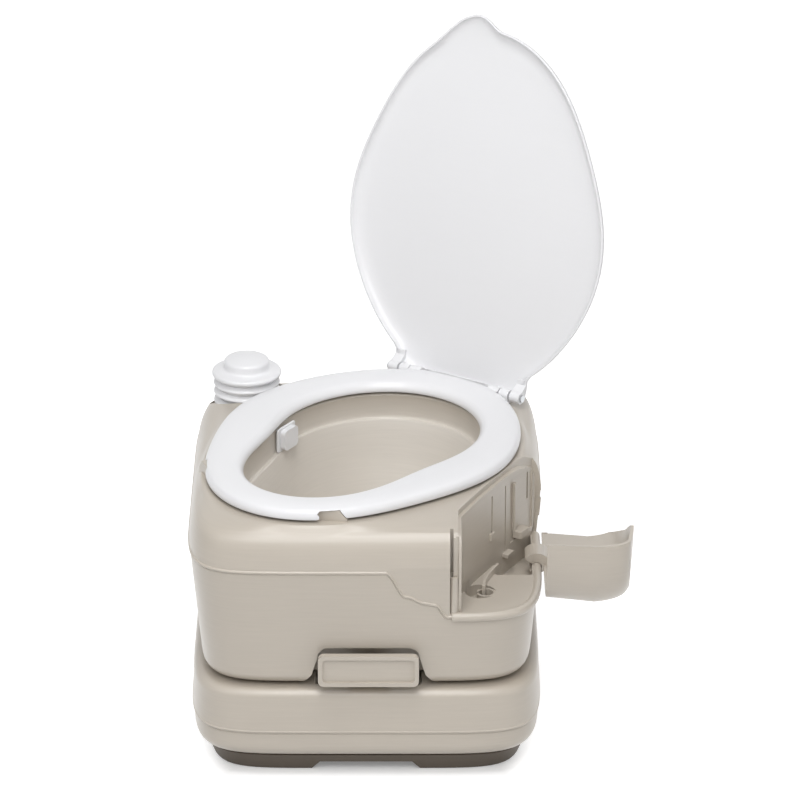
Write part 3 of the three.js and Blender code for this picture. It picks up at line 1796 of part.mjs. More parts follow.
const hingeFrame = new THREE.Group();
hingeFrame.position.set(hingeX, hingeY, pivotLevel);
hingeFrame.rotation.z = -seatTurn;
group.add(hingeFrame);

const lidFrame = new THREE.Group();
lidFrame.rotation.x = -lidOpenAngle;
hingeFrame.add(lidFrame);

place("seat", seat(), whitePlastic, hingeFrame);
place("lid", lid(), whitePlastic, lidFrame);
for (const [side, name] of [[-1, "left"], [1, "right"]]) {
  place(`hinge_bracket_${name}`, hingeBracket(side), whitePlastic, hingeFrame);
  place(`hinge_pin_${name}`, hingePin(side), pinSteel, hingeFrame);
  hingeScrews.forEach(([aside, behind], count) => {
    const top = deckLevel - pivotLevel + fit + hingeFootThick;
    place(
      `hinge_screw_${name}_${count + 1}`,
      screwDown(side * aside, behind, top, screwLength),
      pinSteel,
      hingeFrame,
    );
  });
}
bumperAngles.forEach((alpha, count) => {
  const spot = seatEdge(alpha, 0).lerp(holeEdge(alpha, 0), bumperShare);
  place(
    `seat_bumper_${count + 1}`,
    upright(
      bumperRadius,
      spot.x,
      spot.y,
      deckLevel - pivotLevel + fit,
      seatThick - seatDrop - seatTopRound - fit,
      smallSteps,
    ),
    sealRubber,
    hingeFrame,
  );
});
place("nozzle_plate", nozzlePlate(), whitePlastic, hingeFrame);
place("nozzle_hood", nozzleHood(), whitePlastic, hingeFrame);

place("pump_collar", pumpCollar(), bodyPlastic);
place("pump_tube", pumpTube(), whitePlastic);
place("pump_bellows", bellows(), whitePlastic);
place("pump_cap", pumpCap(), whitePlastic);
place("pump_rod", pumpRod(), whitePlastic);

place("fill_cap", fillCap(), bodyPlastic);
place("fill_seal", fillSeal(), sealRubber);

const coverFrame = new THREE.Group();
coverFrame.position.set(coverAxisX, 0, coverAxisLevel);
coverFrame.rotation.y = coverOpenAngle;
group.add(coverFrame);
place("paper_cover", paperCover(), bodyPlastic, coverFrame);

place("spout", spout(), basePlastic);
place("spout_collar", spoutCollar(), basePlastic);
place("spout_cap", spoutCap(), basePlastic);
place("vent_button", ventButton(), basePlastic);
place("vent_collar", ventCollar(), basePlastic);

for (const [side, name] of [[-1, "left"], [1, "right"]]) {
  const latchFrame = new THREE.Group();
  latchFrame.position.set(side * latchX, latchY, latchPivotLevel);
  group.add(latchFrame);
  place(`latch_${name}`, latch(), basePlastic, latchFrame);
  place(`latch_pin_${name}`, latchPin(), pinSteel, latchFrame);
}

export default group;
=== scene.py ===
"""Looks of the portable toilet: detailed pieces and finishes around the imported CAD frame."""

import json
import math

import bmesh
import bpy
from bpy.props import FloatProperty, FloatVectorProperty, PointerProperty
from mathutils import Matrix, Vector


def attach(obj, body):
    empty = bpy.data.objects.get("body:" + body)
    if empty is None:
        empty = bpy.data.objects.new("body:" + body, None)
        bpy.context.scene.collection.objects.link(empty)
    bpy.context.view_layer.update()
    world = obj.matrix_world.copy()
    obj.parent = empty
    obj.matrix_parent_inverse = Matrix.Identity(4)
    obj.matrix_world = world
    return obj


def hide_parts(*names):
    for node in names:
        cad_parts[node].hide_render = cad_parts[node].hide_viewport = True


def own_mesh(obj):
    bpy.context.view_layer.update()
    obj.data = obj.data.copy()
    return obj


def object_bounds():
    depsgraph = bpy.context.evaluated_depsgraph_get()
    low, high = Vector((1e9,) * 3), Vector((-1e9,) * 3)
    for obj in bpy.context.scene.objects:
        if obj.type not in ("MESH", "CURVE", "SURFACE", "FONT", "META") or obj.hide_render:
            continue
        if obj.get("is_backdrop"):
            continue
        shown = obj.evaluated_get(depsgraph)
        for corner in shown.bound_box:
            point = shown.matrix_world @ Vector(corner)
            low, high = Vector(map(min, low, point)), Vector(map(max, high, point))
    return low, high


bl_info = {
    "name": "Portable Toilet Builder",
    "version": (1, 0, 0),
    "blender": (4, 5, 0),
    "location": "View3D > Sidebar > Toilet",
    "description": "Builds the tanks, seat, lid, pump, niche and finishes of a portable toilet",
    "category": "Object",
}

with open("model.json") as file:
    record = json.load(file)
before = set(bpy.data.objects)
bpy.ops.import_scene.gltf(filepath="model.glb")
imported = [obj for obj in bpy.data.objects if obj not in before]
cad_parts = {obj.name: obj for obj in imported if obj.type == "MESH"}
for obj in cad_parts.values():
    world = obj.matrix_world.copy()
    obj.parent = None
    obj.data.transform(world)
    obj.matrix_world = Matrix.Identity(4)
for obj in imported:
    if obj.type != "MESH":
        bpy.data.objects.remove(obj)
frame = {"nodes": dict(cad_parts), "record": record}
cad_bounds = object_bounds()

TURN = math.tau
HALF = math.pi
QUARTER = math.pi / 2
MM = 0.001

# Sizes in millimetres that the pieces share with the frame

HALF_WIDTH = 184.0
HALF_DEPTH = 209.5
SQUARE_SHARE = 7
TANK_BOTTOM = 20.0
TANK_TOP = 99.0
BODY_BOTTOM = 102.0
DECK = 282.0
BEAD_LEVEL = 236.0
BEAD_HALF = 1.8
BEAD_RISE = 1.2
BEAD_GROOVE = 0.7
BODY_DRAFT = 12.0
BODY_ROUND = 12.0
SHOULDER_LOW = 240.0
SHOULDER_EDGE = 3.0
# How far in, at most what share of the way to the seat, and how far up
SHOULDER_RISE = [(0, 0, 0), (1.5, 0.12, 12), (4.5, 0.3, 23), (9, 0.5, 31), (16, 0.7, 36)]
DECK_CROWN = 1.6
CORNER_SPREAD = 1.1
# Where the bead drops towards the niche: place across and level
BEAD_DROP = [(21, 236), (42, 208), (62, 200), (73, 198), (86, 183.5)]

SEAT_TURN = math.radians(33.09)
HINGE = Vector((95.6, 153.8, 291.0))
EGG_CENTRE = 184.7
SEAT_EGG = (173.5, 20.1, 4.6, 4.4)
HOLE_EGG = (125.9, 26.3, 7.2, 2.6)
SEAT_LOW = -6.0
SEAT_HIGH = 7.0
SEAT_BACK = 2.0
SEAT_CORNER = 11.0
CORNER_START = 57.0
KNUCKLE_RADIUS = 6.4
PIN_START = 42.0
PIN_LENGTH = 43.5
LID_RIM = 7.7
LID_RISE = 13.5
LID_BACK = 1.0
LID_CORNER = 22.0
LID_OVERHANG = 1.7
LID_WALL = 2.6
LID_OPEN = math.radians(99.7)
NOSE_REACH = 15.0
NOSE_LEFT = 58.0
NOSE_RIGHT = 29.0
NOSE_OFFSET = 18.5

BOWL_MARGIN = 4.0
BOWL_BAND = 254.0
BOWL_LEDGE = 4.0
OUTLET_LEVEL = 118.0
OUTLET_RADIUS = 44.0
VALVE_X = 3.0
INLET_Y = 31.0

PUMP = Vector((-131.0, 160.0, 0.0))
PUMP_POCKET = 41.0
PUMP_FLOOR = 252.0
FILL_POCKET = 25.0
FILL_FLOOR = 256.0

NICHE_FLOOR = 187.0
NICHE_WALL = [(98.44, -159.22), (117.02, -120.04), (147.02, -62.01), (177.93, -7.96)]
LIP_RADIUS = 5.0
POST = Vector((91.24, -201.0, 0.0))
CUP = Vector((118.5, -151.05, 0.0))
PIT_FLOOR = 166.0
COVER_AXIS = Vector((179.0, 0.0, 183.5))
COVER_OPEN = math.radians(90)
STRAP = (-86.0, -60.0)


# Settings


class ToiletSettings(bpy.types.PropertyGroup):
    """Colours and fineness that a user would change"""

    body_colour: FloatVectorProperty(
        name="Body",
        description="Colour of the tanks, cover and handle",
        subtype="COLOR",
        size=3,
        min=0,
        max=1,
        default=(0.48, 0.432, 0.37),
    )
    # Painted light: the bowl's lighter colour stands in for the light and sheen that fall on the bowl's lower inside
    bowl_painted_light_colour: FloatVectorProperty(
        name="Bowl",
        description="Colour of the inside of the bowl",
        subtype="COLOR",
        size=3,
        min=0,
        max=1,
        default=(0.64, 0.6, 0.545),
    )
    white_colour: FloatVectorProperty(
        name="Seat and lid",
        description="Colour of the seat, lid, hinge and pump",
        subtype="COLOR",
        size=3,
        min=0,
        max=1,
        default=(0.785, 0.785, 0.8),
    )
    # Painted shade: the base tray's dark colour stands in for the shade under the tank's tapered underside; the rear
    # fittings share this colour
    base_shade_and_fittings_colour: FloatVectorProperty(
        name="Base",
        description="Colour of the base tray and the rear fittings",
        subtype="COLOR",
        size=3,
        min=0,
        max=1,
        default=(0.092, 0.073, 0.054),
    )
    grain_depth: FloatProperty(
        name="Grain depth",
        description="How deep the moulded grain of the body looks",
        default=0.05,
        min=0,
        max=1,
    )
    edge_round: FloatProperty(
        name="Edge round",
        description="Radius of the softened moulded edges",
        default=0.0008,
        min=0.0001,
        max=0.003,
        subtype="DISTANCE",
        unit="LENGTH",
    )


# Outlines of the body, seat and bowl


def plan_reach(angle, inset):
    across = abs(math.cos(angle)) / (HALF_WIDTH - inset)
    along = abs(math.sin(angle)) / (HALF_DEPTH - inset)
    return (across**SQUARE_SHARE + along**SQUARE_SHARE) ** (-1 / SQUARE_SHARE)


def plan_point(angle, inset, z):
    reach = plan_reach(angle, inset)
    return Vector((reach * math.cos(angle), reach * math.sin(angle), z))


def plan_angles(count, crowded=0):
    """Angles at even steps along the outline, with more of them where the bead drops."""
    fine = [TURN * step / 2000 - HALF for step in range(2001)]
    walked = [0.0]
    for before, after in zip(fine, fine[1:]):
        walked.append(walked[-1] + (plan_point(after, 0, 0) - plan_point(before, 0, 0)).length)
    angles = []
    place = 0
    for step in range(count):
        target = walked[-1] * step / count
        while walked[place + 1] < target:
            place += 1
        share = (target - walked[place]) / (walked[place + 1] - walked[place])
        angles.append(fine[place] + share * (fine[place + 1] - fine[place]))
    start, end = BEAD_DROP[0][0] - 6, BEAD_DROP[-1][0] + 6
    for step in range(crowded):
        x = start + (end - start) * step / crowded
        angles.append(math.atan2(-HALF_DEPTH, x))
    return sorted(angles)


def egg_reach(egg, alpha):
    mean, stretch, point, flat = egg
    return mean + stretch * math.cos(2 * alpha) + point * math.cos(3 * alpha) + flat * math.cos(4 * alpha)


def egg_slope(egg, alpha):
    stretch, point, flat = egg[1:]
    return -2 * stretch * math.sin(2 * alpha) - 3 * point * math.sin(3 * alpha) - 4 * flat * math.sin(4 * alpha)


def egg_point(egg, alpha, offset, z=0.0):
    """A point of an egg outline in the hinge's own frame: x along the hinge, -y towards the front."""
    reach, slope = egg_reach(egg, alpha), egg_slope(egg, alpha)
    size = math.hypot(reach, slope)
    ahead = EGG_CENTRE + reach * math.cos(alpha)
    ahead += offset * (reach * math.cos(alpha) + slope * math.sin(alpha)) / size
    aside = reach * math.sin(alpha) + offset * (reach * math.sin(alpha) - slope * math.cos(alpha)) / size
    return Vector((aside, -ahead, z))


def from_hinge(point):
    return Matrix.Rotation(-SEAT_TURN, 3, "Z") @ point + HINGE


def egg_angle(angle):
    return angle + QUARTER + SEAT_TURN


def smooth_table(rows, steps):
    """Rows of numbers joined by a smooth curve, with so many steps between each two."""
    rows = [Vector(row) for row in rows]
    padded = [2 * rows[0] - rows[1], *rows, 2 * rows[-1] - rows[-2]]
    out = []
    for place in range(1, len(padded) - 2):
        a, b, c, d = padded[place - 1 : place + 3]
        for step in range(steps):
            t = step / steps
            out.append(
                0.5
                * (2 * b + (c - a) * t + (2 * a - 5 * b + 4 * c - d) * t**2 + (3 * b - a - 3 * c + d) * t**3)
            )
    out.append(rows[-1])
    return out


def bead_height(angle):
    """The bead runs level round the body, and drops to the niche's lip at the front right."""
    x = HALF_DEPTH / math.tan(-angle) if angle else HALF_WIDTH
    in_front = -HALF < angle < 0
    niche_end = math.atan2(NICHE_WALL[-1][1], NICHE_WALL[-1][0])
    if not in_front or x < BEAD_DROP[0][0] or angle > niche_end:
        return BEAD_LEVEL
    for (x0, z0), (x1, z1) in zip(BEAD_DROP, BEAD_DROP[1:]):
        if x <= x1:
            t = (x - x0) / (x1 - x0)
            return z0 + (z1 - z0) * t * t * (3 - 2 * t)
    return COVER_AXIS.z


def wall_inset(z, extra):
    return extra + BODY_DRAFT * max(0.0, (BEAD_LEVEL - z) / (BEAD_LEVEL - BODY_BOTTOM))


def outer_rings(angles, extra, fine):
    """The upper body's outside, from the foot of its wall up to the edge of the deck."""
    rings = []
    for step in range(fine + 1):
        turn = -QUARTER + QUARTER * step / fine
        z = BODY_BOTTOM + BODY_ROUND * (1 + math.sin(turn))
        inset = wall_inset(z, extra) + BODY_ROUND * (1 - math.cos(turn))
        rings.append([plan_point(a, inset, z) for a in angles])
    for share, below, sunk in ((0.35, 0, 0), (0.7, 0, 0), (1, 2.4, 0), (1, 0.9, BEAD_GROOVE), (1, 0.2, BEAD_GROOVE)):
        rings.append(
            [
                plan_point(a, wall_inset(z, extra) + sunk, z)
                for a in angles
                for z in [rings[fine][0].z + (bead_height(a) - BEAD_HALF - rings[fine][0].z) * share - below]
            ]
        )
    for step in range(fine + 1):
        across = -1 + 2 * step / fine
        out = BEAD_RISE * math.cos(across * QUARTER) ** 0.6 if abs(across) < 1 else 0.0
        rings.append(
            [
                plan_point(a, wall_inset(bead_height(a) + across * BEAD_HALF, extra) - out, bead_height(a) + across * BEAD_HALF)
                for a in angles
            ]
        )
    low = SHOULDER_LOW
    shrink = (DECK - extra - low) / (DECK - low)
    rim_offset = SHOULDER_EDGE - extra

    def ring(inward, z):
        points = []
        for a in angles:
            wall = plan_point(a, extra, z)
            rim = from_hinge(egg_point(SEAT_EGG, egg_angle(a), rim_offset))
            rim.z = z
            way = (rim - wall).length
            spread = 1 + CORNER_SPREAD * math.sin(2 * a) ** 2 if QUARTER < a < HALF else 1
            points.append(wall.lerp(rim, inward(way, spread) / way))
        return points

    for inward, most, up in smooth_table(SHOULDER_RISE, fine // 2):
        rings.append(ring(lambda way, spread: max(0.0, min(inward * spread, most * way)), low + up * shrink))
    reach, most, _ = SHOULDER_RISE[-1]
    top = DECK - extra
    for share, drop in ((0.25, 0.62), (0.5, 0.3), (0.75, 0.09), (1, 0)):
        crown = (DECK - low - SHOULDER_RISE[-1][2]) * drop
        rings.append(
            ring(
                lambda way, spread: min(reach * spread, most * way) * (1 - share) + way * share,
                top - crown * shrink,
            )
        )
    return rings


def bowl_point(angle, offset, z):
    point = from_hinge(egg_point(HOLE_EGG, egg_angle(angle), offset))
    point.z = z
    return point


def outlet_point(angle, radius, z):
    return Vector((VALVE_X + radius * math.cos(angle), INLET_Y + radius * math.sin(angle), z))


def bowl_rings(angles, fine):
    """The inside of the bowl, from the edge of the deck down to the outlet."""
    rings = []
    edge = 3.0
    for step in range(fine + 1):
        turn = QUARTER - QUARTER * step / fine
        offset = BOWL_MARGIN + edge * (1 - math.cos(turn))
        rings.append([bowl_point(a, offset, DECK - edge * (1 - math.sin(turn))) for a in angles])
    for z, offset in ((270, BOWL_MARGIN), (258, BOWL_MARGIN), (255.2, BOWL_MARGIN - 0.3), (254.2, BOWL_MARGIN - 1)):
        rings.append([bowl_point(a, offset, z) for a in angles])
    shares = [(-0.005, -0.002), (0.03, 0.02), (0.12, 0.17), (0.26, 0.38), (0.56, 0.72), (0.84, 0.93), (1, 1)]
    for inward, down in smooth_table(shares, 3):
        z = BOWL_BAND + (OUTLET_LEVEL - BOWL_BAND) * down
        rings.append(
            [
                bowl_point(a, 0, z).lerp(outlet_point(a, OUTLET_RADIUS, z), max(0.0, inward))
                for a in angles
            ]
        )
    rings.append([outlet_point(a, OUTLET_RADIUS, BODY_BOTTOM) for a in angles])
    return rings


# Mesh tools


def new_piece(name, mesh):
    """An object at the origin from a bmesh laid out in millimetres."""
    bmesh.ops.scale(mesh, vec=(MM, MM, MM), verts=mesh.verts)
    data = bpy.data.meshes.new(name)
    mesh.to_mesh(data)
    mesh.free()
    piece = bpy.data.objects.new(name, data)
    bpy.context.scene.collection.objects.link(piece)
    return piece


def grid_skin(name, rings, closed=False):
    """A skin over rings of points: a grid whose sides meet round the rings, and along them where closed.
    A ring of one repeated point becomes a pole."""
    rows = len(rings) + (1 if closed else 0)
    columns = len(rings[0]) + 1
    mesh = bmesh.new()
    made = bmesh.ops.create_grid(mesh, x_segments=columns - 1, y_segments=rows - 1, size=1)["verts"]
    made.sort(key=lambda vert: (round(vert.co.y, 6), round(vert.co.x, 6)))
    for place, vert in enumerate(made):
        row, column = divmod(place, columns)
        vert.co = rings[row % len(rings)][column % len(rings[0])]
    bmesh.ops.remove_doubles(mesh, verts=mesh.verts, dist=0.002)
    loose = [edge for edge in mesh.edges if edge.is_boundary]
    if loose:
        bmesh.ops.holes_fill(mesh, edges=loose, sides=0)
    bmesh.ops.recalc_face_normals(mesh, faces=mesh.faces)
    return new_piece(name, mesh)


def prism(name, outline, low, high, turn=None):
    """An outline of flat points carried from low to high along z, or as turned by a matrix."""
    mesh = bmesh.new()
    verts = [mesh.verts.new((a, b, low)) for a, b in outline]
    face = mesh.faces.new(verts)
    lifted = bmesh.ops.extrude_face_region(mesh, geom=[face])["geom"]
    bmesh.ops.translate(
        mesh, vec=(0, 0, high - low), verts=[item for item in lifted if isinstance(item, bmesh.types.BMVert)]
    )
    if turn is not None:
        bmesh.ops.transform(mesh, matrix=turn, verts=mesh.verts)
    bmesh.ops.recalc_face_normals(mesh, faces=mesh.faces)
    return new_piece(name, mesh)


# Turns of a flat outline: its two numbers become x and z, or y and z, and its length runs along y or x
ALONG_Y = Matrix(((1, 0, 0, 0), (0, 0, 1, 0), (0, 1, 0, 0), (0, 0, 0, 1)))
ALONG_X = Matrix(((0, 0, 1, 0), (1, 0, 0, 0), (0, 1, 0, 0), (0, 0, 0, 1)))


def slab(name, x0, x1, y0, y1, z0, z1, radius=0.0):
    """A box with its upright edges rounded."""
    if radius:
        return prism(name, rounded_outline(x0, x1, y0, y1, radius), z0, z1)
    return prism(name, [(x0, y0), (x1, y0), (x1, y1), (x0, y1)], z0, z1)


def arc_points(a, b, radius, start, end, steps):
    return [
        (a + radius * math.cos(start + (end - start) * step / steps), b + radius * math.sin(start + (end - start) * step / steps))
        for step in range(steps + 1)
    ]


def rounded_outline(a0, a1, b0, b1, radius, steps=6):
    return [
        *arc_points(a1 - radius, b0 + radius, radius, -QUARTER, 0, steps),
        *arc_points(a1 - radius, b1 - radius, radius, 0, QUARTER, steps),
        *arc_points(a0 + radius, b1 - radius, radius, QUARTER, HALF, steps),
        *arc_points(a0 + radius, b0 + radius, radius, HALF, HALF + QUARTER, steps),
    ]


def round_bar(name, radius, start, end, steps=40):
    """A round bar between two points."""
    start, end = Vector(start), Vector(end)
    along = end - start
    mesh = bmesh.new()
    bmesh.ops.create_cone(
        mesh, cap_ends=True, segments=steps, radius1=radius, radius2=radius, depth=along.length
    )
    place = Matrix.Translation((start + end) / 2) @ Vector((0, 0, 1)).rotation_difference(along).to_matrix().to_4x4()
    bmesh.ops.transform(mesh, matrix=place, verts=mesh.verts)
    return new_piece(name, mesh)


def turned(name, profile, centre, steps=64, axis=None):
    """A profile of radius and height spun about an upright line through centre, or about axis."""
    mesh = bmesh.new()
    verts = [mesh.verts.new((radius, 0, height)) for radius, height in profile]
    edges = [mesh.edges.new(pair) for pair in zip(verts, verts[1:])]
    bmesh.ops.spin(
        mesh, geom=verts + edges, axis=(0, 0, 1), cent=(0, 0, 0), angle=TURN, steps=steps, use_merge=True
    )
    bmesh.ops.remove_doubles(mesh, verts=mesh.verts, dist=0.002)
    bmesh.ops.recalc_face_normals(mesh, faces=mesh.faces)
    if axis is not None:
        bmesh.ops.transform(
            mesh, matrix=Vector((0, 0, 1)).rotation_difference(axis).to_matrix().to_4x4(), verts=mesh.verts
        )
    bmesh.ops.translate(mesh, vec=centre, verts=mesh.verts)
    return new_piece(name, mesh)


def settle(piece):
    """Bakes a piece's modifiers into its mesh."""
    bpy.context.view_layer.update()
    seen = piece.evaluated_get(bpy.context.evaluated_depsgraph_get())
    data = bpy.data.meshes.new_from_object(seen)
    piece.modifiers.clear()
    piece.data = data
    return piece


def shaped_by(piece, tools, operation="DIFFERENCE"):
    """Cuts the tools out of a piece, or joins or keeps what they share, and drops the tools."""
    for tool in tools:
        change = piece.modifiers.new("Shape", "BOOLEAN")
        change.operation = operation
        change.solver = "EXACT"
        change.object = tool
    settle(piece)
    for tool in tools:
        bpy.data.objects.remove(tool)
    mesh = bmesh.new()
    mesh.from_mesh(piece.data)
    bmesh.ops.remove_doubles(mesh, verts=mesh.verts, dist=0.00002)
    bmesh.ops.dissolve_degenerate(mesh, edges=mesh.edges, dist=0.00002)
    mesh.to_mesh(piece.data)
    mesh.free()
    return piece


def softened(piece, width=None, segments=2, angle=35):
    """Rounds a piece's sharp edges."""
    settings = bpy.context.scene.toilet_settings
    change = piece.modifiers.new("Soft edges", "BEVEL")
    change.limit_method = "ANGLE"
    change.angle_limit = math.radians(angle)
    change.width = width * MM if width else settings.edge_round
    change.segments = segments
    change.miter_outer = "MITER_ARC"
    return settle(piece)


def smoothed(piece, angle=32):
    """Smooth shading, with the edges sharper than the angle left crisp."""
    for face in piece.data.polygons:
        face.use_smooth = True
    piece.data.set_sharp_from_angle(angle=math.radians(angle))
    change = piece.modifiers.new("Flat faces stay flat", "WEIGHTED_NORMAL")
    change.keep_sharp = True
    return settle(piece)


def moved(piece, matrix):
    """Places a piece's mesh, in metres."""
    piece.data.transform(matrix)
    piece.data.update()
    return piece


def placed(piece, body, slot, material, *nodes):
    piece.data.materials.clear()
    piece.data.materials.append(material)
    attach(piece, body)
    if nodes:
        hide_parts(*nodes)
    return piece


def notch_places():
    """Where the two notches under the seat's edge are, in the hinge's own frame, and where their lugs start."""
    for angle, out in ((0.42, -6), (-0.6, 2)):
        place = Matrix.Translation(egg_point(SEAT_EGG, angle, out) * MM) @ Matrix.Rotation(angle, 4, "Z")
        yield place, max(-1, out)


def hinge_matrix(tilt=0.0):
    """From the hinge's own frame in metres to the row frame, with the lid's tilt."""
    return (
        Matrix.Translation(HINGE * MM)
        @ Matrix.Rotation(-SEAT_TURN, 4, "Z")
        @ Matrix.Rotation(-tilt, 4, "X")
    )


# Finishes


def socket(tree, name, kind, way="INPUT", default=None):
    made = tree.interface.new_socket(name=name, in_out=way, socket_type=kind)
    if default is not None:
        made.default_value = default
    return made


def moulded_group():
    """Moulded plastic: slow colour drift, a fine grain and faint rubbed patches."""
    name = "Moulded plastic"
    if name in bpy.data.node_groups:
        return bpy.data.node_groups[name]
    tree = bpy.data.node_groups.new(name, "ShaderNodeTree")
    socket(tree, "Colour", "NodeSocketColor")
    socket(tree, "Drift", "NodeSocketFloat", default=0.03)
    socket(tree, "Grain size", "NodeSocketFloat", default=900.0)
    socket(tree, "Grain depth", "NodeSocketFloat", default=0.05)
    socket(tree, "Roughness", "NodeSocketFloat", default=0.45)
    socket(tree, "Rubbing", "NodeSocketFloat", default=0.08)
    socket(tree, "Colour", "NodeSocketColor", "OUTPUT")
    socket(tree, "Roughness", "NodeSocketFloat", "OUTPUT")
    socket(tree, "Normal", "NodeSocketVector", "OUTPUT")
    nodes, links = tree.nodes, tree.links
    given = nodes.new("NodeGroupInput")
    result = nodes.new("NodeGroupOutput")
    place = nodes.new("ShaderNodeTexCoord")

    def noise(scale, detail, source=None, vector=None):
        node = nodes.new("ShaderNodeTexNoise")
        node.inputs["Scale"].default_value = scale
        node.inputs["Detail"].default_value = detail
        links.new(vector or place.outputs["Object"], node.inputs["Vector"])
        if source is not None:
            links.new(source, node.inputs["Scale"])
        return node.outputs["Fac"]

    def math_node(operation, first, second):
        node = nodes.new("ShaderNodeMath")
        node.operation = operation
        for value, entry in ((first, node.inputs[0]), (second, node.inputs[1])):
            if isinstance(value, (int, float)):
                entry.default_value = value
            else:
                links.new(value, entry)
        return node.outputs[0]

    flat = nodes.new("ShaderNodeMapping")
    flat.inputs["Scale"].default_value = (0.04, 0.04, 1)
    links.new(place.outputs["Object"], flat.inputs["Vector"])
    streaks = math_node("SUBTRACT", noise(520.0, 3.0, vector=flat.outputs["Vector"]), 0.5)
    slow = math_node("ADD", math_node("SUBTRACT", noise(7.0, 3.0), 0.5), streaks)
    drift = math_node("MULTIPLY", slow, given.outputs["Drift"])
    value = math_node("ADD", drift, 1.0)
    tint = nodes.new("ShaderNodeHueSaturation")
    links.new(given.outputs["Colour"], tint.inputs["Color"])
    links.new(value, tint.inputs["Value"])
    links.new(tint.outputs["Color"], result.inputs["Colour"])

    patches = math_node("SUBTRACT", noise(28.0, 5.0), 0.5)
    rubbed = math_node("MULTIPLY", patches, given.outputs["Rubbing"])
    links.new(math_node("ADD", given.outputs["Roughness"], rubbed), result.inputs["Roughness"])

    bump = nodes.new("ShaderNodeBump")
    bump.inputs["Distance"].default_value = 0.0004
    links.new(noise(900.0, 2.0, given.outputs["Grain size"]), bump.inputs["Height"])
    links.new(given.outputs["Grain depth"], bump.inputs["Strength"])
    links.new(bump.outputs["Normal"], result.inputs["Normal"])
    return tree


def plastic(name, colour, roughness, drift, grain_size, grain_depth, coat=0.0, rubbing=0.08, gloss=0.2):
    if name in bpy.data.materials:
        return bpy.data.materials[name]
    material = bpy.data.materials.new(name)
    material.use_nodes = True
    nodes, links = material.node_tree.nodes, material.node_tree.links
    shader = nodes["Principled BSDF"]
    group = nodes.new("ShaderNodeGroup")
    group.node_tree = moulded_group()
    group.inputs["Colour"].default_value = (*colour, 1)
    group.inputs["Drift"].default_value = drift
    group.inputs["Grain size"].default_value = grain_size
    group.inputs["Grain depth"].default_value = grain_depth
    group.inputs["Roughness"].default_value = roughness
    group.inputs["Rubbing"].default_value = rubbing
    links.new(group.outputs["Colour"], shader.inputs["Base Color"])
    links.new(group.outputs["Roughness"], shader.inputs["Roughness"])
    links.new(group.outputs["Normal"], shader.inputs["Normal"])
    shader.inputs["Coat Weight"].default_value = coat
    shader.inputs["Coat Roughness"].default_value = gloss
    return material


def bowl_painted_light_mask():
    """Where light is painted in the bowl: white on the bowl's lower inside, black on the rest of the body."""
    name = "Bowl painted light mask"
    if name in bpy.data.node_groups:
        return bpy.data.node_groups[name]
    tree = bpy.data.node_groups.new(name, "ShaderNodeTree")
    socket(tree, "Mask", "NodeSocketFloat", "OUTPUT")
    nodes, links = tree.nodes, tree.links
    result = nodes.new("NodeGroupOutput")
    place = nodes.new("ShaderNodeTexCoord")
    split = nodes.new("ShaderNodeSeparateXYZ")
    links.new(place.outputs["Object"], split.inputs["Vector"])
    centre = from_hinge(Vector((0, -EGG_CENTRE, 0))) * MM
    flat = nodes.new("ShaderNodeVectorMath")
    flat.operation = "MULTIPLY_ADD"
    flat.inputs[1].default_value = (1, 1, 0)
    flat.inputs[2].default_value = (-centre.x, -centre.y, 0)
    links.new(place.outputs["Object"], flat.inputs[0])
    away = nodes.new("ShaderNodeVectorMath")
    away.operation = "LENGTH"
    links.new(flat.outputs["Vector"], away.inputs[0])
    masks = []
    for source, start, end in ((away.outputs["Value"], 0.163, 0.16), (split.outputs["Z"], 0.2795, 0.25)):
        step = nodes.new("ShaderNodeMapRange")
        step.inputs["From Min"].default_value = start
        step.inputs["From Max"].default_value = end
        links.new(source, step.inputs["Value"])
        masks.append(step.outputs["Result"])
    both = nodes.new("ShaderNodeMath")
    both.operation = "MULTIPLY"
    links.new(masks[0], both.inputs[0])
    links.new(masks[1], both.inputs[1])
    links.new(both.outputs["Value"], result.inputs["Mask"])
    return tree


def body_plastic():
    settings = bpy.context.scene.toilet_settings
    name = "Beige body plastic"
    if name in bpy.data.materials:
        return bpy.data.materials[name]
    material = plastic(name, settings.body_colour, 0.42, 0.1, 1100.0, settings.grain_depth, coat=0.6, gloss=0.34)
    nodes, links = material.node_tree.nodes, material.node_tree.links
    mask = nodes.new("ShaderNodeGroup")
    mask.node_tree = bowl_painted_light_mask()
    # Painted light: the bowl's lower inside is mixed to the lighter bowl colour for the light and sheen it catches
    tint = nodes.new("ShaderNodeMix")
    tint.data_type = "RGBA"
    tint.inputs["A"].default_value = (*settings.body_colour, 1)
    tint.inputs["B"].default_value = (*settings.bowl_painted_light_colour, 1)
    links.new(mask.outputs["Mask"], tint.inputs["Factor"])
    finish = next(node for node in nodes if node.type == "GROUP" and "Colour" in node.inputs)
    links.new(tint.outputs["Result"], finish.inputs["Colour"])
    return material


def white_plastic():
    settings = bpy.context.scene.toilet_settings
    return plastic("White gloss plastic", settings.white_colour, 0.3, 0.015, 500.0, 0.015, coat=0.2, rubbing=0.05)


def base_plastic():
    settings = bpy.context.scene.toilet_settings
    # On the base tray this dark colour is painted shade of the tank's tapered underside
    return plastic("Dark fittings and painted base shade plastic", settings.base_shade_and_fittings_colour, 0.55, 0.12, 900.0, 0.12)


def seal_rubber():
    return plastic("Black seal rubber", (0.012, 0.012, 0.012), 0.8, 0.2, 700.0, 0.15)


def pin_steel():
    if "Pin steel" in bpy.data.materials:
        return bpy.data.materials["Pin steel"]
    material = plastic("Pin steel", (0.6, 0.62, 0.64), 0.3, 0.05, 1400.0, 0.04, rubbing=0.15)
    material.node_tree.nodes["Principled BSDF"].inputs["Metallic"].default_value = 1.0
    return material


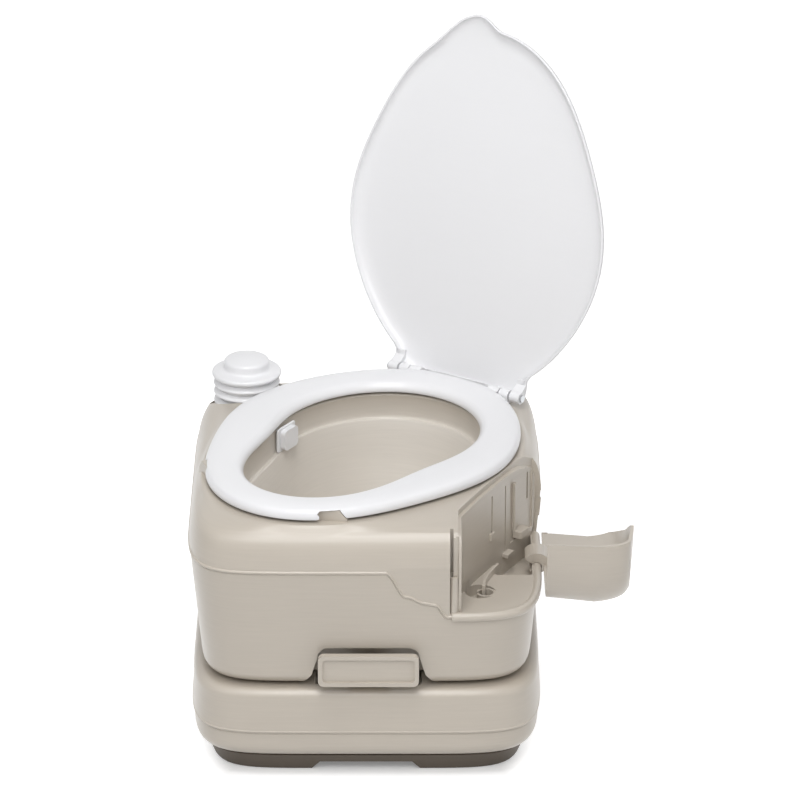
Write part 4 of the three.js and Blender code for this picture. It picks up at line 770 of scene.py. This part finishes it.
def background_rays(tree):
    """One for the rays that should see the white background, from the camera or by way of gloss or glass."""
    path = tree.nodes.new("ShaderNodeLightPath")
    seen = path.outputs["Is Camera Ray"]
    for name in ("Is Glossy Ray", "Is Transmission Ray"):
        either = tree.nodes.new("ShaderNodeMath")
        either.operation = "MAXIMUM"
        tree.links.new(seen, either.inputs[0])
        tree.links.new(path.outputs[name], either.inputs[1])
        seen = either.outputs["Value"]
    return seen


SLOT_FINISHES = {
    "body_plastic": body_plastic,
    "white_plastic": white_plastic,
    "base_plastic": base_plastic,
    "seal_rubber": seal_rubber,
    "pin_steel": pin_steel,
}


# Pieces


def niche_outline(margin):
    (x0, y0), (x1, y1), (x2, y2), (x3, y3) = NICHE_WALL
    far = HALF_WIDTH * 2 + margin
    return [
        (x0 - margin, -far),
        (far, -far),
        (far, y3 + margin),
        (x3 - margin, y3 + margin),
        (x2 - margin, y2 + margin),
        (x1 - margin, y1 + margin),
        (x0 - margin, y0 + margin),
    ]


def body_solid(name, extra, count=96, crowded=16, fine=4):
    """The whole form of the upper body, filled, as a tool."""
    angles = plan_angles(count, crowded)
    return grid_skin(name, outer_rings(angles, extra, fine))


class TOILET_OT_tanks(bpy.types.Operator):
    """Builds the base, the waste tank and the upper body with its bowl and niche"""

    bl_idname = "toilet.tanks"
    bl_label = "Tanks"

    def execute(self, context):
        self.base()
        self.waste_tank()
        self.upper_body()
        return {"FINISHED"}

    def base(self):
        angles = plan_angles(160)
        levels = [(22, 0), (20.2, 0.4), (19.5, 1.5), (13.3, 18.6), (13.5, 19.2), (14.2, 19.7)]
        tray = grid_skin("base_body", [[plan_point(a, inset, z) for a in angles] for inset, z in levels])
        arch = [(-57, -4), (57, -4), (57, 0), (48, 10), (-48, 10), (-57, 0)]
        fronts = [
            prism("arch_front", arch, -HALF_DEPTH - 20, -HALF_DEPTH + 60, ALONG_Y),
            prism("arch_back", arch, HALF_DEPTH - 60, HALF_DEPTH + 20, ALONG_Y),
        ]
        shaped_by(tray, fronts)
        softened(tray, 1.2)
        smoothed(tray)
        # The dark finish on the tray is painted shade of the tank's tapered underside
        placed(tray, "tanks", "base_plastic", base_plastic(), "base_tray")

    def waste_tank(self):
        angles = plan_angles(180)
        inset = 1.0
        wall = inset + 1.5
        levels = []
        for step in range(9):
            turn = -QUARTER + QUARTER * step / 8
            levels.append((wall + 16 * (1 - math.cos(turn)), TANK_BOTTOM + 16 * (1 + math.sin(turn))))
        levels += [(wall, 52 - BEAD_HALF - 2.4), (wall + 0.6, 52 - BEAD_HALF - 0.9), (wall + 0.6, 52 - BEAD_HALF - 0.2)]
        for step in range(7):
            across = -1 + step / 3
            lean = 0.75 - 0.75 * across
            rise = BEAD_RISE * math.cos(across * QUARTER) ** 0.6 if abs(across) < 1 else 0.0
            levels.append((inset + lean - rise, 52 + across * BEAD_HALF))
        for step in range(7):
            turn = QUARTER * step / 6
            levels.append((wall + 9 * (1 - math.cos(turn)), TANK_TOP - 9 * (1 - math.sin(turn))))
        tank = grid_skin("waste_body", [[plan_point(a, i, z) for a in angles] for i, z in levels])
        tools = [
            slab("channel", VALVE_X - 55, VALVE_X + 55, -192, INLET_Y, 86, 110, 6),
            slab("valve_room", VALVE_X - 68.3, VALVE_X + 68.3, -35.3, 97.3, 86, 110),
            slab("spout_bay", -82, 82, HALF_DEPTH - 62, HALF_DEPTH + 60, 40, 110, 8),
            round_bar("inlet", OUTLET_RADIUS, (VALVE_X, INLET_Y, 60), (VALVE_X, INLET_Y, 110), 64),
            slab("latch_left_room", -138.2, -105.8, 184.5, 260, 56.8, 110, 3),
            slab("latch_right_room", 105.8, 138.2, 184.5, 260, 56.8, 110, 3),
        ]
        shaped_by(tank, tools)
        softened(tank)
        smoothed(tank)
        placed(tank, "tanks", "body_plastic", body_plastic(), "waste_tank")

    def upper_body(self):
        angles = plan_angles(200, 36)
        rings = outer_rings(angles, 0.0, 8) + bowl_rings(angles, 4)
        body = grid_skin("upper_body", rings, closed=True)
        frame_band = body_solid("niche_frame", -1.0, 160, 30, 6)
        band_room = prism("band_room", niche_outline(6), NICHE_FLOOR - 3, DECK + 12)
        shaped_by(frame_band, [band_room], "INTERSECT")
        shaped_by(body, [frame_band], "UNION")
        rebate = prism("rebate", niche_outline(3), NICHE_FLOOR, DECK + 12)
        shaped_by(rebate, [body_solid("rebate_floor", 4.5)])
        tools = [prism("niche", niche_outline(0), NICHE_FLOOR, DECK + 12), rebate]
        tools.append(round_bar("pump_pocket", PUMP_POCKET, PUMP + Vector((0, 0, PUMP_FLOOR)), PUMP + Vector((0, 0, 300)), 96))
        fill = from_hinge(Vector((5, 28, 0)))
        tools.append(round_bar("fill_pocket", FILL_POCKET, (fill.x, fill.y, FILL_FLOOR), (fill.x, fill.y, 300), 72))
        tools += self.front_recess()
        for x in (-122, 122):
            tools.append(slab("latch_room", x - 16.2, x + 16.2, 183.5, 260, 122.8, 129.2, 2))
        tools += self.niche_cuts()
        shaped_by(body, tools)
        softened(body)
        smoothed(body)
        placed(body, "tanks", "body_plastic", body_plastic(), "upper_tank")
        self.niche_fittings()
        for place, start in notch_places():
            outline = [(-18.6, -20), (18.6, -20), (17.2, -6.5), (9.5, 3.1), (-9.5, 3.1), (-17.2, -6.5)]
            lug = prism("seat_lug", outline, start, 8.4, ALONG_Y)
            softened(lug, 0.8, 3)
            smoothed(lug)
            moved(lug, hinge_matrix() @ place)
            placed(lug, "tanks", "body_plastic", body_plastic())

    def front_recess(self):
        half, flare, top = 53, 24, 146.5
        low, high = VALVE_X - half, VALVE_X + half
        outline = [
            (low - flare, BODY_BOTTOM - 4),
            (high + flare, BODY_BOTTOM - 4),
            (high + flare * 0.55, BODY_BOTTOM + 3),
            (high + flare / 4, BODY_BOTTOM + 12),
            *arc_points(high - 12, top - 12, 12, 0, QUARTER, 8),
            *arc_points(low + 12, top - 12, 12, QUARTER, HALF, 8),
            (low - flare / 4, BODY_BOTTOM + 12),
            (low - flare * 0.55, BODY_BOTTOM + 3),
        ]
        back = -HALF_DEPTH + BODY_DRAFT + 34
        return [
            prism("handle_recess", outline, -HALF_DEPTH - 20, back, ALONG_Y),
            slab("tongue_groove", VALVE_X - 21.6, VALVE_X + 21.6, -HALF_DEPTH, -35, BODY_BOTTOM - 4, 105.2),
        ]

    def niche_cuts(self):
        start, end = STRAP[0] - 1.2, STRAP[1] + 1.2
        axis = COVER_AXIS
        pit = slab("niche_pit", 134, axis.x - LIP_RADIUS, -112, 200, PIT_FLOOR, NICHE_FLOOR + 0.3, 4)
        shaped_by(pit, [prism("pit_side", niche_outline(0), PIT_FLOOR - 4, DECK)], "INTERSECT")
        tools = [
            round_bar("barrel_room", 9.5, (axis.x, start, axis.z), (axis.x, end, axis.z), 48),
            slab("strap_well", axis.x - 16.7, axis.x - 2.8, start, end, PIT_FLOOR, axis.z + 16.7, 1),
            slab("post_room", POST.x - 4.5, POST.x + 4.5, -230, -200.5, NICHE_FLOOR, DECK + 4, 1.5),
            slab("niche_slot", POST.x - 4.5, POST.x - 1, -230, -189.5, 228, DECK + 4),
            pit,
        ]
        for corner, share, width, back, low, high in (
            (1, 0.48, 3.5, 2, 227, 268),
            (1, 0.97, 2.5, 2.5, 190, 267),
            (2, 0.53, 50, 2, 196, 270),
            (2, 0.8, 3.2, 7, 231, 262),
        ):
            tools.append(self.on_wall("groove", corner, share, width, back, 4, low, high, 1.2))
        cup = turned("cup", [(0, 174), (13.4, 174), (15.2, 175), (16, 178), (16, 195), (0, 195)], CUP, 56)
        return [*tools, cup]

    def on_wall(self, name, corner, share, width, back, out, low, high, radius=0.0):
        """A box on the niche wall between two of its corners."""
        (x0, y0), (x1, y1) = NICHE_WALL[corner], NICHE_WALL[corner + 1]
        place = Matrix.Translation(Vector((x0 + (x1 - x0) * share, y0 + (y1 - y0) * share, 0)) * MM)
        turn = Matrix.Rotation(math.atan2(y1 - y0, x1 - x0), 4, "Z")
        return moved(slab(name, -width / 2, width / 2, -out, back, low, high, radius), place @ turn)

    def niche_fittings(self):
        start = math.atan2(-HALF_DEPTH, POST.x)
        end = math.atan2(NICHE_WALL[-1][1], NICHE_WALL[-1][0])
        path = [plan_point(start + (end - start) * step / 120, LIP_RADIUS, COVER_AXIS.z) for step in range(121)]
        rings = []
        for place, point in enumerate(path):
            along = (path[min(place + 1, 120)] - path[max(place - 1, 0)]).normalized()
            aside = Vector((0, 0, 1)).cross(along)
            rings.append([point + aside * a + Vector((0, 0, b)) for a, b in arc_points(0, 0, LIP_RADIUS, 0, TURN * 0.95, 19)])
        parts = [
            grid_skin("niche_lip", rings),
            self.on_wall("niche_rib_1", 1, 0.46, 9, 2.5, 2.5, 219, 227, 1),
            self.on_wall("niche_rib_2", 2, 0.3, 5, 2.5, 1.5, 206, 262, 1),
            self.on_wall("niche_guide", 2, 0.42, 19, 2.5, 9, 199, 207, 2.5),
            self.on_wall("niche_step", 2, -0.02, 15, 2.5, 7, 186.8, 191, 1.5),
            round_bar("niche_post", 4.3, POST + Vector((0, 0, 186.7)), POST + Vector((0, 0, 228)), 32),
            self.curved_rib(),
            self.cup_ring(),
        ]
        for part in parts:
            softened(part, 0.6)
            smoothed(part)
            placed(part, "tanks", "body_plastic", body_plastic())

    def cup_ring(self):
        profile = [(7.5, 173.7), (10, 173.7), (10, 186), (7.5, 186), (7.5, 173.7)]
        ring = turned("niche_cup_ring", profile, CUP + Vector((6.3, 0, 0)), 48)
        gap = slab("ring_gap", CUP.x - 16, CUP.x, CUP.y - 2.5, CUP.y + 2.5, 172, 191)
        return shaped_by(ring, [gap])

    def curved_rib(self):
        """The rib that curls from the cup along the pit."""
        rows = smooth_table([(122, -152), (124, -134), (130, -116), (138, -98)], 10)
        left, right = [], []
        for place, point in enumerate(rows):
            along = (rows[min(place + 1, len(rows) - 1)] - rows[max(place - 1, 0)]).normalized()
            aside = Vector((-along.y, along.x)) * 1.75
            left.append(tuple(point + aside))
            right.append(tuple(point - aside))
        return prism("niche_curl", [*left, *reversed(right)], 173.7, 194)


class TOILET_OT_seat(bpy.types.Operator):
    """Builds the seat, the lid and their hinge"""

    bl_idname = "toilet.seat"
    bl_label = "Seat, lid and hinge"

    def execute(self, context):
        self.seat()
        self.lid()
        self.hinge()
        return {"FINISHED"}

    def seat(self):
        rings = []
        count = 200
        for step in range(count):
            alpha = TURN * step / count - HALF
            rings.append(self.seat_section(alpha))
        ring = grid_skin("seat_ring", rings, closed=True)
        wide = 400
        tools = [slab("seat_back_cut", -wide, wide, -SEAT_BACK, wide, -30, 30)]
        for side in (-1, 1):
            ends = sorted((side * CORNER_START, side * wide))
            tools.append(slab("seat_corner_cut", *ends, -SEAT_CORNER, wide, -30, 30))
        outline = [(-20, -9), (20, -9), (18, -6.5), (10.1, 3.8), (-10.1, 3.8), (-18, -6.5)]
        tools += [moved(prism("seat_notch", outline, -9, 9, ALONG_Y), place) for place, _ in notch_places()]
        shaped_by(ring, tools)
        joins = []
        for side in (-1, 1):
            joins.append(round_bar("knuckle", KNUCKLE_RADIUS, (side * 43, 0, 0), (side * 57, 0, 0), 32))
            ends = sorted((side * 43, side * 57))
            joins.append(slab("knuckle_web", *ends, -14, 0, -6, 4.4))
        shaped_by(ring, joins, "UNION")
        shaped_by(ring, [round_bar("pin_hole", 2.8, (-100, 0, 0), (100, 0, 0), 24)])
        softened(ring, 0.7)
        smoothed(ring)
        moved(ring, hinge_matrix())
        placed(ring, "seat", "white_plastic", white_plastic(), "seat")

    def seat_section(self, alpha):
        low, high = SEAT_LOW, SEAT_HIGH
        outer = lambda inward, z: egg_point(SEAT_EGG, alpha, -inward, z)
        inner = lambda outward, z: egg_point(HOLE_EGG, alpha, outward, z)
        controls = [
            outer(0.0, low + 1.6),
            outer(-0.0, high - 8),
            outer(1.0, high - 5),
            outer(3.2, high - 2.4),
            outer(8.5, high - 0.7),
            outer(0, high).lerp(inner(0, high), 0.4),
            inner(9, high - 1.2),
            inner(3.6, high - 3.6),
            inner(1.0, high - 6.6),
            inner(0, high - 9.5),
            inner(0, low + 1.6),
        ]
        top = smooth_table(controls, 3)
        under = [
            inner(0.5, low + 0.5),
            inner(1.4, low),
            inner(3, low),
            inner(4.3, high - 8),
            outer(4.3, high - 8),
            outer(3, low),
            outer(1.4, low),
            outer(0.5, low + 0.5),
        ]
        return [*top, *under]

    def lid(self):
        count = 240
        centre = Vector((0, -EGG_CENTRE, 0))

        def ring(inward, z, bump):
            points = []
            for step in range(count):
                alpha = TURN * step / count - HALF
                near = min(inward, 34)
                point = egg_point(SEAT_EGG, alpha, LID_OVERHANG - near + self.nose(alpha) * bump, z)
                point = point.lerp(centre + Vector((0, 0, z)), (inward - near) / 130)
                points.append(self.squared(point))
            return points

        rim, rise = LID_RIM, LID_RISE
        outer = [
            (0.9, rim, 1),
            (0.25, rim + 0.3, 1),
            (0, rim + 1.0, 1),
            (0.2, rim + 2.7, 1),
            (0.8, rim + 4.6, 0.95),
            (2.2, rim + 6.4, 0.8),
            (4.6, rim + 8.2, 0.6),
            (8, rim + 9.7, 0.4),
            (13, rim + 11, 0.18),
            (20, rim + 11.9, 0.04),
            (34, rim + 12.6, 0),
            (60, rim + 13.1, 0),
            (95, rim + 13.4, 0),
            (125, rim + rise, 0),
        ]
        inner = [
            (LID_WALL + 125, rim + rise * 0.8, 0),
            (LID_WALL + 95, rim + rise * 0.795, 0),
            (LID_WALL + 60, rim + rise * 0.78, 0),
            (LID_WALL + 34, rim + rise * 0.745, 0),
            (LID_WALL + 18, rim + rise * 0.69, 0.04),
            (LID_WALL + 11, rim + rise * 0.62, 0.2),
            (LID_WALL + 6, rim + rise * 0.52, 0.45),
            (LID_WALL + 3, rim + rise * 0.4, 0.7),
            (LID_WALL + 1.0, rim + rise * 0.25, 0.9),
            (LID_WALL + 0.2, rim + rise * 0.1, 1),
            (LID_WALL, rim + 0.8, 1),
            (LID_WALL - 0.3, rim + 0.2, 1),
            (LID_WALL - 0.9, rim, 1),
        ]
        top = [ring(*level) for level in outer] + [[centre + Vector((0, 0, rim + rise))] * count]
        below = [[centre + Vector((0, 0, rim + rise * 0.8))] * count] + [ring(*level) for level in inner]
        lid = grid_skin("lid_shell", [*below, *top])
        joins = []
        for side in (-1, 1):
            outline = [
                *arc_points(0, 0, KNUCKLE_RADIUS, -HALF / 2, -HALF, 8),
                (-13, LID_RIM),
                (-18, LID_RIM),
                (-18, LID_RIM + 2.7),
                (-9, LID_RIM + 2.7),
                (-1, LID_RIM + 0.9),
                *arc_points(0, 0, KNUCKLE_RADIUS, QUARTER * 0.6, 0, 6),
                *arc_points(0, 0, KNUCKLE_RADIUS, -QUARTER * 0.2, -QUARTER * 0.8, 4),
            ]
            ends = sorted((side * 72, side * 84))
            joins.append(prism("lid_ear", outline, *ends, ALONG_X))
        shaped_by(lid, joins, "UNION")
        shaped_by(lid, [round_bar("pin_hole", 2.8, (-100, 0, 0), (100, 0, 0), 24)])
        softened(lid, 0.6)
        smoothed(lid)
        moved(lid, hinge_matrix(LID_OPEN))
        placed(lid, "lid", "white_plastic", white_plastic(), "lid")

    def squared(self, point):
        """Carries the lid's back out to a straight edge with full corners."""
        share = min(1.0, max(0.0, (point.y + LID_CORNER) / (LID_CORNER - 9)))
        point.y = point.y + (-LID_BACK - point.y) * share
        return point

    def nose(self, alpha):
        aside = egg_reach(SEAT_EGG, alpha) * math.sin(alpha) + NOSE_OFFSET
        away = abs(aside) / (NOSE_LEFT if aside < 0 else NOSE_RIGHT)
        if away >= 1 or math.cos(alpha) < 0:
            return 0.0
        return NOSE_REACH * math.cos(QUARTER * away) ** 2

    def hinge(self):
        low = DECK - HINGE.z + 0.3
        for side, name in ((-1, "left"), (1, "right")):
            post = [(-7, low), (7, low), *arc_points(0, 0, KNUCKLE_RADIUS, 0, HALF, 16)]
            ends = sorted((side * 58, side * 70))
            bracket = prism(f"hinge_post_{name}", post, *ends, ALONG_X)
            foot = [(30, 8), (66, 3), (66, 9), (52, 20), (30, 20)]
            plate = prism("hinge_foot", [(side * a, b) for a, b in foot], low, low + 3)
            shaped_by(bracket, [plate], "UNION")
            shaped_by(bracket, [round_bar("pin_hole", 2.8, (-100, 0, 0), (100, 0, 0), 24)])
            softened(bracket, 0.8)
            smoothed(bracket)
            moved(bracket, hinge_matrix())
            placed(bracket, "tanks", "white_plastic", white_plastic(), f"hinge_bracket_{name}")


class TOILET_OT_cover(bpy.types.Operator):
    """Builds the hinged cover of the paper niche with its strap"""

    bl_idname = "toilet.cover"
    bl_label = "Paper cover"

    def execute(self, context):
        shell = body_solid("cover_shell", 0.0, 160, 30, 6)
        room = prism("cover_room", niche_outline(1.8), COVER_AXIS.z + LIP_RADIUS + 2, DECK + 4)
        shaped_by(shell, [room], "INTERSECT")
        shaped_by(shell, [body_solid("cover_hollow", 3.0, 160, 30, 6)])
        x, z = COVER_AXIS.x, COVER_AXIS.z
        start, end = STRAP
        joins = []
        for name, inner, outer, first, last in (("cover_strap", 8, 15.5, 73, 233), ("cover_barrel", 5, 8.3, -60, 233)):
            first, last = math.radians(first), math.radians(last)
            outline = [*arc_points(x, z, outer, first, last, 32), *arc_points(x, z, inner, last, first, 32)]
            joins.append(prism(name, outline, start, end, ALONG_Y))
        joins.append(slab("cover_web", HALF_WIDTH - 3, HALF_WIDTH, start, end, z, z + 11))
        shaped_by(shell, joins, "UNION")
        shaped_by(shell, [round_bar("cover_bore", 5.5, (x, start - 4, z), (x, end + 4, z), 48)])
        softened(shell, 0.7)
        smoothed(shell)
        pivot = COVER_AXIS * MM
        moved(shell, Matrix.Translation(pivot) @ Matrix.Rotation(COVER_OPEN, 4, "Y") @ Matrix.Translation(-pivot))
        placed(shell, "paper_cover", "body_plastic", body_plastic(), "paper_cover")
        return {"FINISHED"}


class TOILET_OT_valve(bpy.types.Operator):
    """Builds the slide valve's handle and blade"""

    bl_idname = "toilet.valve"
    bl_label = "Valve handle"

    def execute(self, context):
        left, right, low, high = VALVE_X - 52, VALVE_X + 52, 109, 144
        handle = prism("valve_handle", rounded_outline(left, right, low, high, 6), -216, -209, ALONG_Y)
        rim = 4.5
        sink = prism(
            "handle_sink",
            rounded_outline(left + rim, right - rim, low + rim, high - rim, 4),
            -220,
            -213,
            ALONG_Y,
        )
        shaped_by(handle, [sink])
        joins = [
            slab("tongue", VALVE_X - 20, VALVE_X + 20, -197, -38, 99.6, 103.6),
            prism(
                "web",
                [(-212.5, 126.5), (-212.5, 109), (-197, 99.6), (-190, 99.6), (-190, 126.5)],
                VALVE_X - 20,
                VALVE_X + 20,
                ALONG_X,
            ),
            slab("step", VALVE_X - 20, VALVE_X + 20, -42, -36.2, 91.8, 103.6),
            slab("plate", VALVE_X - 52, VALVE_X + 52, -42, 86, 91.8, 95, 5),
        ]
        shaped_by(handle, joins, "UNION")
        softened(handle, 0.9, 3)
        smoothed(handle)
        placed(handle, "valve", "body_plastic", body_plastic(), "valve_blade")
        return {"FINISHED"}


class TOILET_OT_pump(bpy.types.Operator):
    """Builds the bellows pump with its cap, and the flush nozzle"""

    bl_idname = "toilet.pump"
    bl_label = "Pump and nozzle"

    def execute(self, context):
        self.bellows()
        self.cap()
        self.nozzle()
        return {"FINISHED"}

    def bellows(self):
        low, high, count = 256.7, 297.5, 4
        pitch = (high - low) / count
        outside = []
        steps = 16
        for step in range(count * steps + 1):
            z = low + pitch * step / steps
            wave = 0.5 + 0.5 * math.cos(TURN * (step / steps - 0.2))
            outside.append((31.5 + 4.5 * wave**0.7, z))
        inside = [(radius - 1.8, z) for radius, z in reversed(outside)]
        sleeve = turned("bellows_sleeve", [*outside, *inside, outside[0]], PUMP, 96)
        smoothed(sleeve, 60)
        placed(sleeve, "tanks", "white_plastic", white_plastic(), "pump_bellows")
        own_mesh(sleeve)

    def cap(self):
        low = 297.8
        profile = [
            (0, low),
            (35.5, low),
            (37.0, low + 0.5),
            (37.6, low + 1.8),
            (37.6, low + 3.4),
            (36.6, low + 5.0),
            (34, low + 5.9),
            (28.5, low + 6.7),
            (26, low + 7.6),
            (24.9, low + 9.0),
            (24.6, low + 11),
            (24.6, low + 14.6),
            (24.2, low + 16.4),
            (22.9, low + 17.8),
            (20.5, low + 18.8),
            (14, low + 20.3),
            (7, low + 21.2),
            (0, low + 21.5),
        ]
        rows = [profile[0], *[tuple(row) for row in smooth_table(profile[1:], 3)]]
        cap = turned("pump_button", rows, PUMP, 96)
        smoothed(cap, 50)
        placed(cap, "pump", "white_plastic", white_plastic(), "pump_cap")

    def nozzle(self):
        wall = 106.2 - 3.4
        along, level = -178, 268 - HINGE.z
        plate = prism(
            "nozzle_back",
            rounded_outline(along - 16.5, along + 16.5, level - 13.5, level + 13.5, 2.5),
            -wall,
            -wall + 2.5,
            ALONG_X,
        )
        back = -wall + 2.8
        hood = prism(
            "nozzle_shield",
            rounded_outline(along - 12.5, along + 12.5, level - 11.5, level + 11.5, 5),
            back,
            back + 6,
            ALONG_X,
        )
        shaped_by(hood, [slab("hood_room", back - 4, back + 3.4, along - 9.9, along + 9.9, level - 23, level + 8.9)])
        for part, node, width in ((plate, "nozzle_plate", 0.8), (hood, "nozzle_hood", 1.6)):
            softened(part, width, 3)
            smoothed(part)
            moved(part, hinge_matrix())
            placed(part, "tanks", "white_plastic", white_plastic(), node)


class TOILET_OT_finish_frame(bpy.types.Operator):
    """Gives every part kept from the frame the finish of its material slot"""

    bl_idname = "toilet.finish_frame"
    bl_label = "Frame finishes"

    def execute(self, context):
        for entry in frame["record"]["subparts"]:
            node = frame["nodes"][entry["node"]]
            material = SLOT_FINISHES[entry["material_slot"]]()
            if not node.material_slots:
                node.data.materials.append(material)
            for place in node.material_slots:
                place.material = material
        return {"FINISHED"}


class TOILET_OT_stage(bpy.types.Operator):
    """Sets up the floor, the soft studio light and the camera"""

    bl_idname = "toilet.stage"
    bl_label = "Stage"

    def execute(self, context):
        self.floor()
        self.lights()
        self.camera()
        return {"FINISHED"}

    def floor(self):
        mesh = bmesh.new()
        bmesh.ops.create_grid(mesh, x_segments=1, y_segments=1, size=6)
        data = bpy.data.meshes.new("floor")
        mesh.to_mesh(data)
        mesh.free()
        floor = bpy.data.objects.new("floor", data)
        bpy.context.scene.collection.objects.link(floor)
        material = bpy.data.materials.new("Studio floor")
        material.use_nodes = True
        nodes, links = material.node_tree.nodes, material.node_tree.links
        shader = nodes["Principled BSDF"]
        shader.inputs["Base Color"].default_value = (0.75, 0.75, 0.75, 1)
        shader.inputs["Roughness"].default_value = 0.9
        place = nodes.new("ShaderNodeTexCoord")
        shares = nodes.new("ShaderNodeVectorMath")
        shares.operation = "DIVIDE"
        shares.inputs[1].default_value = ((HALF_WIDTH - 32) * MM, HALF_DEPTH * MM, 1)
        links.new(place.outputs["Object"], shares.inputs[0])
        sides = nodes.new("ShaderNodeVectorMath")
        sides.operation = "ABSOLUTE"
        links.new(shares.outputs["Vector"], sides.inputs[0])
        split = nodes.new("ShaderNodeSeparateXYZ")
        links.new(sides.outputs["Vector"], split.inputs["Vector"])
        farther = nodes.new("ShaderNodeMath")
        farther.operation = "MAXIMUM"
        links.new(split.outputs["X"], farther.inputs[0])
        links.new(split.outputs["Y"], farther.inputs[1])
        spread = nodes.new("ShaderNodeMapRange")
        spread.interpolation_type = "SMOOTHSTEP"
        for name, value in (("From Min", 0.9), ("From Max", 1.16), ("To Min", 0.26), ("To Max", 1.0)):
            spread.inputs[name].default_value = value
        links.new(farther.outputs["Value"], spread.inputs["Value"])
        glow = nodes.new("ShaderNodeMath")
        glow.operation = "MULTIPLY"
        links.new(background_rays(material.node_tree), glow.inputs[0])
        links.new(spread.outputs["Result"], glow.inputs[1])
        links.new(glow.outputs["Value"], shader.inputs["Emission Color"])
        shader.inputs["Emission Strength"].default_value = 0.75
        data.materials.append(material)
        floor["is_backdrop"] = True

    def lights(self):
        world = bpy.data.worlds.new("Studio")
        bpy.context.scene.world = world
        world.use_nodes = True
        nodes, links = world.node_tree.nodes, world.node_tree.links
        soft = nodes["Background"]
        soft.inputs["Color"].default_value = (1, 1, 1, 1)
        soft.inputs["Strength"].default_value = 0.36
        seen = nodes.new("ShaderNodeBackground")
        seen.inputs["Color"].default_value = (1, 1, 1, 1)
        seen.inputs["Strength"].default_value = 1.0
        mix = nodes.new("ShaderNodeMixShader")
        links.new(background_rays(world.node_tree), mix.inputs["Fac"])
        links.new(soft.outputs["Background"], mix.inputs[1])
        links.new(seen.outputs["Background"], mix.inputs[2])
        links.new(mix.outputs["Shader"], nodes["World Output"].inputs["Surface"])
        for name, place, aim, size, power in (
            ("key", (-1.6, -1.6, 2.0), (0, 0, 0.25), 1.6, 10),
            ("fill", (1.9, -1.6, 1.3), (0.05, 0, 0.25), 1.8, 5),
            ("softbox", (0.0, -1.95, 2.3), (0, 0, 0.25), 1.6, 34),
            ("top", (-0.05, -0.6, 2.3), (0, 0, 0.3), 0.5, 12),
        ):
            data = bpy.data.lights.new(name, "AREA")
            data.size = size
            data.energy = power
            lamp = bpy.data.objects.new(name, data)
            bpy.context.scene.collection.objects.link(lamp)
            lamp.location = place
            lamp.rotation_euler = (Vector(aim) - Vector(place)).to_track_quat("-Z", "Y").to_euler()

    def camera(self):
        data = bpy.data.cameras.new("photo_camera")
        data.sensor_width = 36
        data.lens = 4827.71 / 800 * 36
        data.clip_end = 100
        camera = bpy.data.objects.new("photo_camera", data)
        bpy.context.scene.collection.objects.link(camera)
        pitch = math.radians(23.81)
        target = Vector((0.03551, 0, 0.33721))
        distance = 5.08292
        camera.location = target + distance * Vector((0, -math.cos(pitch), math.sin(pitch)))
        camera.rotation_euler = (QUARTER - pitch, 0, 0)
        bpy.context.scene.camera = camera
        bpy.context.scene.view_settings.view_transform = "Standard"


class TOILET_PT_panel(bpy.types.Panel):
    """Lists the toilet's pieces and settings"""

    bl_label = "Portable toilet"
    bl_idname = "TOILET_PT_panel"
    bl_space_type = "VIEW_3D"
    bl_region_type = "UI"
    bl_category = "Toilet"

    def draw(self, context):
        settings = context.scene.toilet_settings
        for name in ("body_colour", "bowl_painted_light_colour", "white_colour", "base_shade_and_fittings_colour", "grain_depth", "edge_round"):
            self.layout.prop(settings, name)
        for operator in OPERATORS:
            self.layout.operator(operator.bl_idname)


OPERATORS = (
    TOILET_OT_stage,
    TOILET_OT_finish_frame,
    TOILET_OT_tanks,
    TOILET_OT_seat,
    TOILET_OT_cover,
    TOILET_OT_valve,
    TOILET_OT_pump,
)
CLASSES = (ToiletSettings, *OPERATORS, TOILET_PT_panel)


def register():
    for item in CLASSES:
        bpy.utils.register_class(item)
    bpy.types.Scene.toilet_settings = PointerProperty(type=ToiletSettings)


def unregister():
    del bpy.types.Scene.toilet_settings
    for item in reversed(CLASSES):
        bpy.utils.unregister_class(item)


def main():
    register()
    bpy.ops.toilet.stage()
    bpy.ops.toilet.finish_frame()
    bpy.ops.toilet.tanks()
    bpy.ops.toilet.seat()
    bpy.ops.toilet.cover()
    bpy.ops.toilet.valve()
    bpy.ops.toilet.pump()
    [[list(corner) for corner in box] for box in (cad_bounds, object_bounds())]


if __name__ == "__main__":
    main()
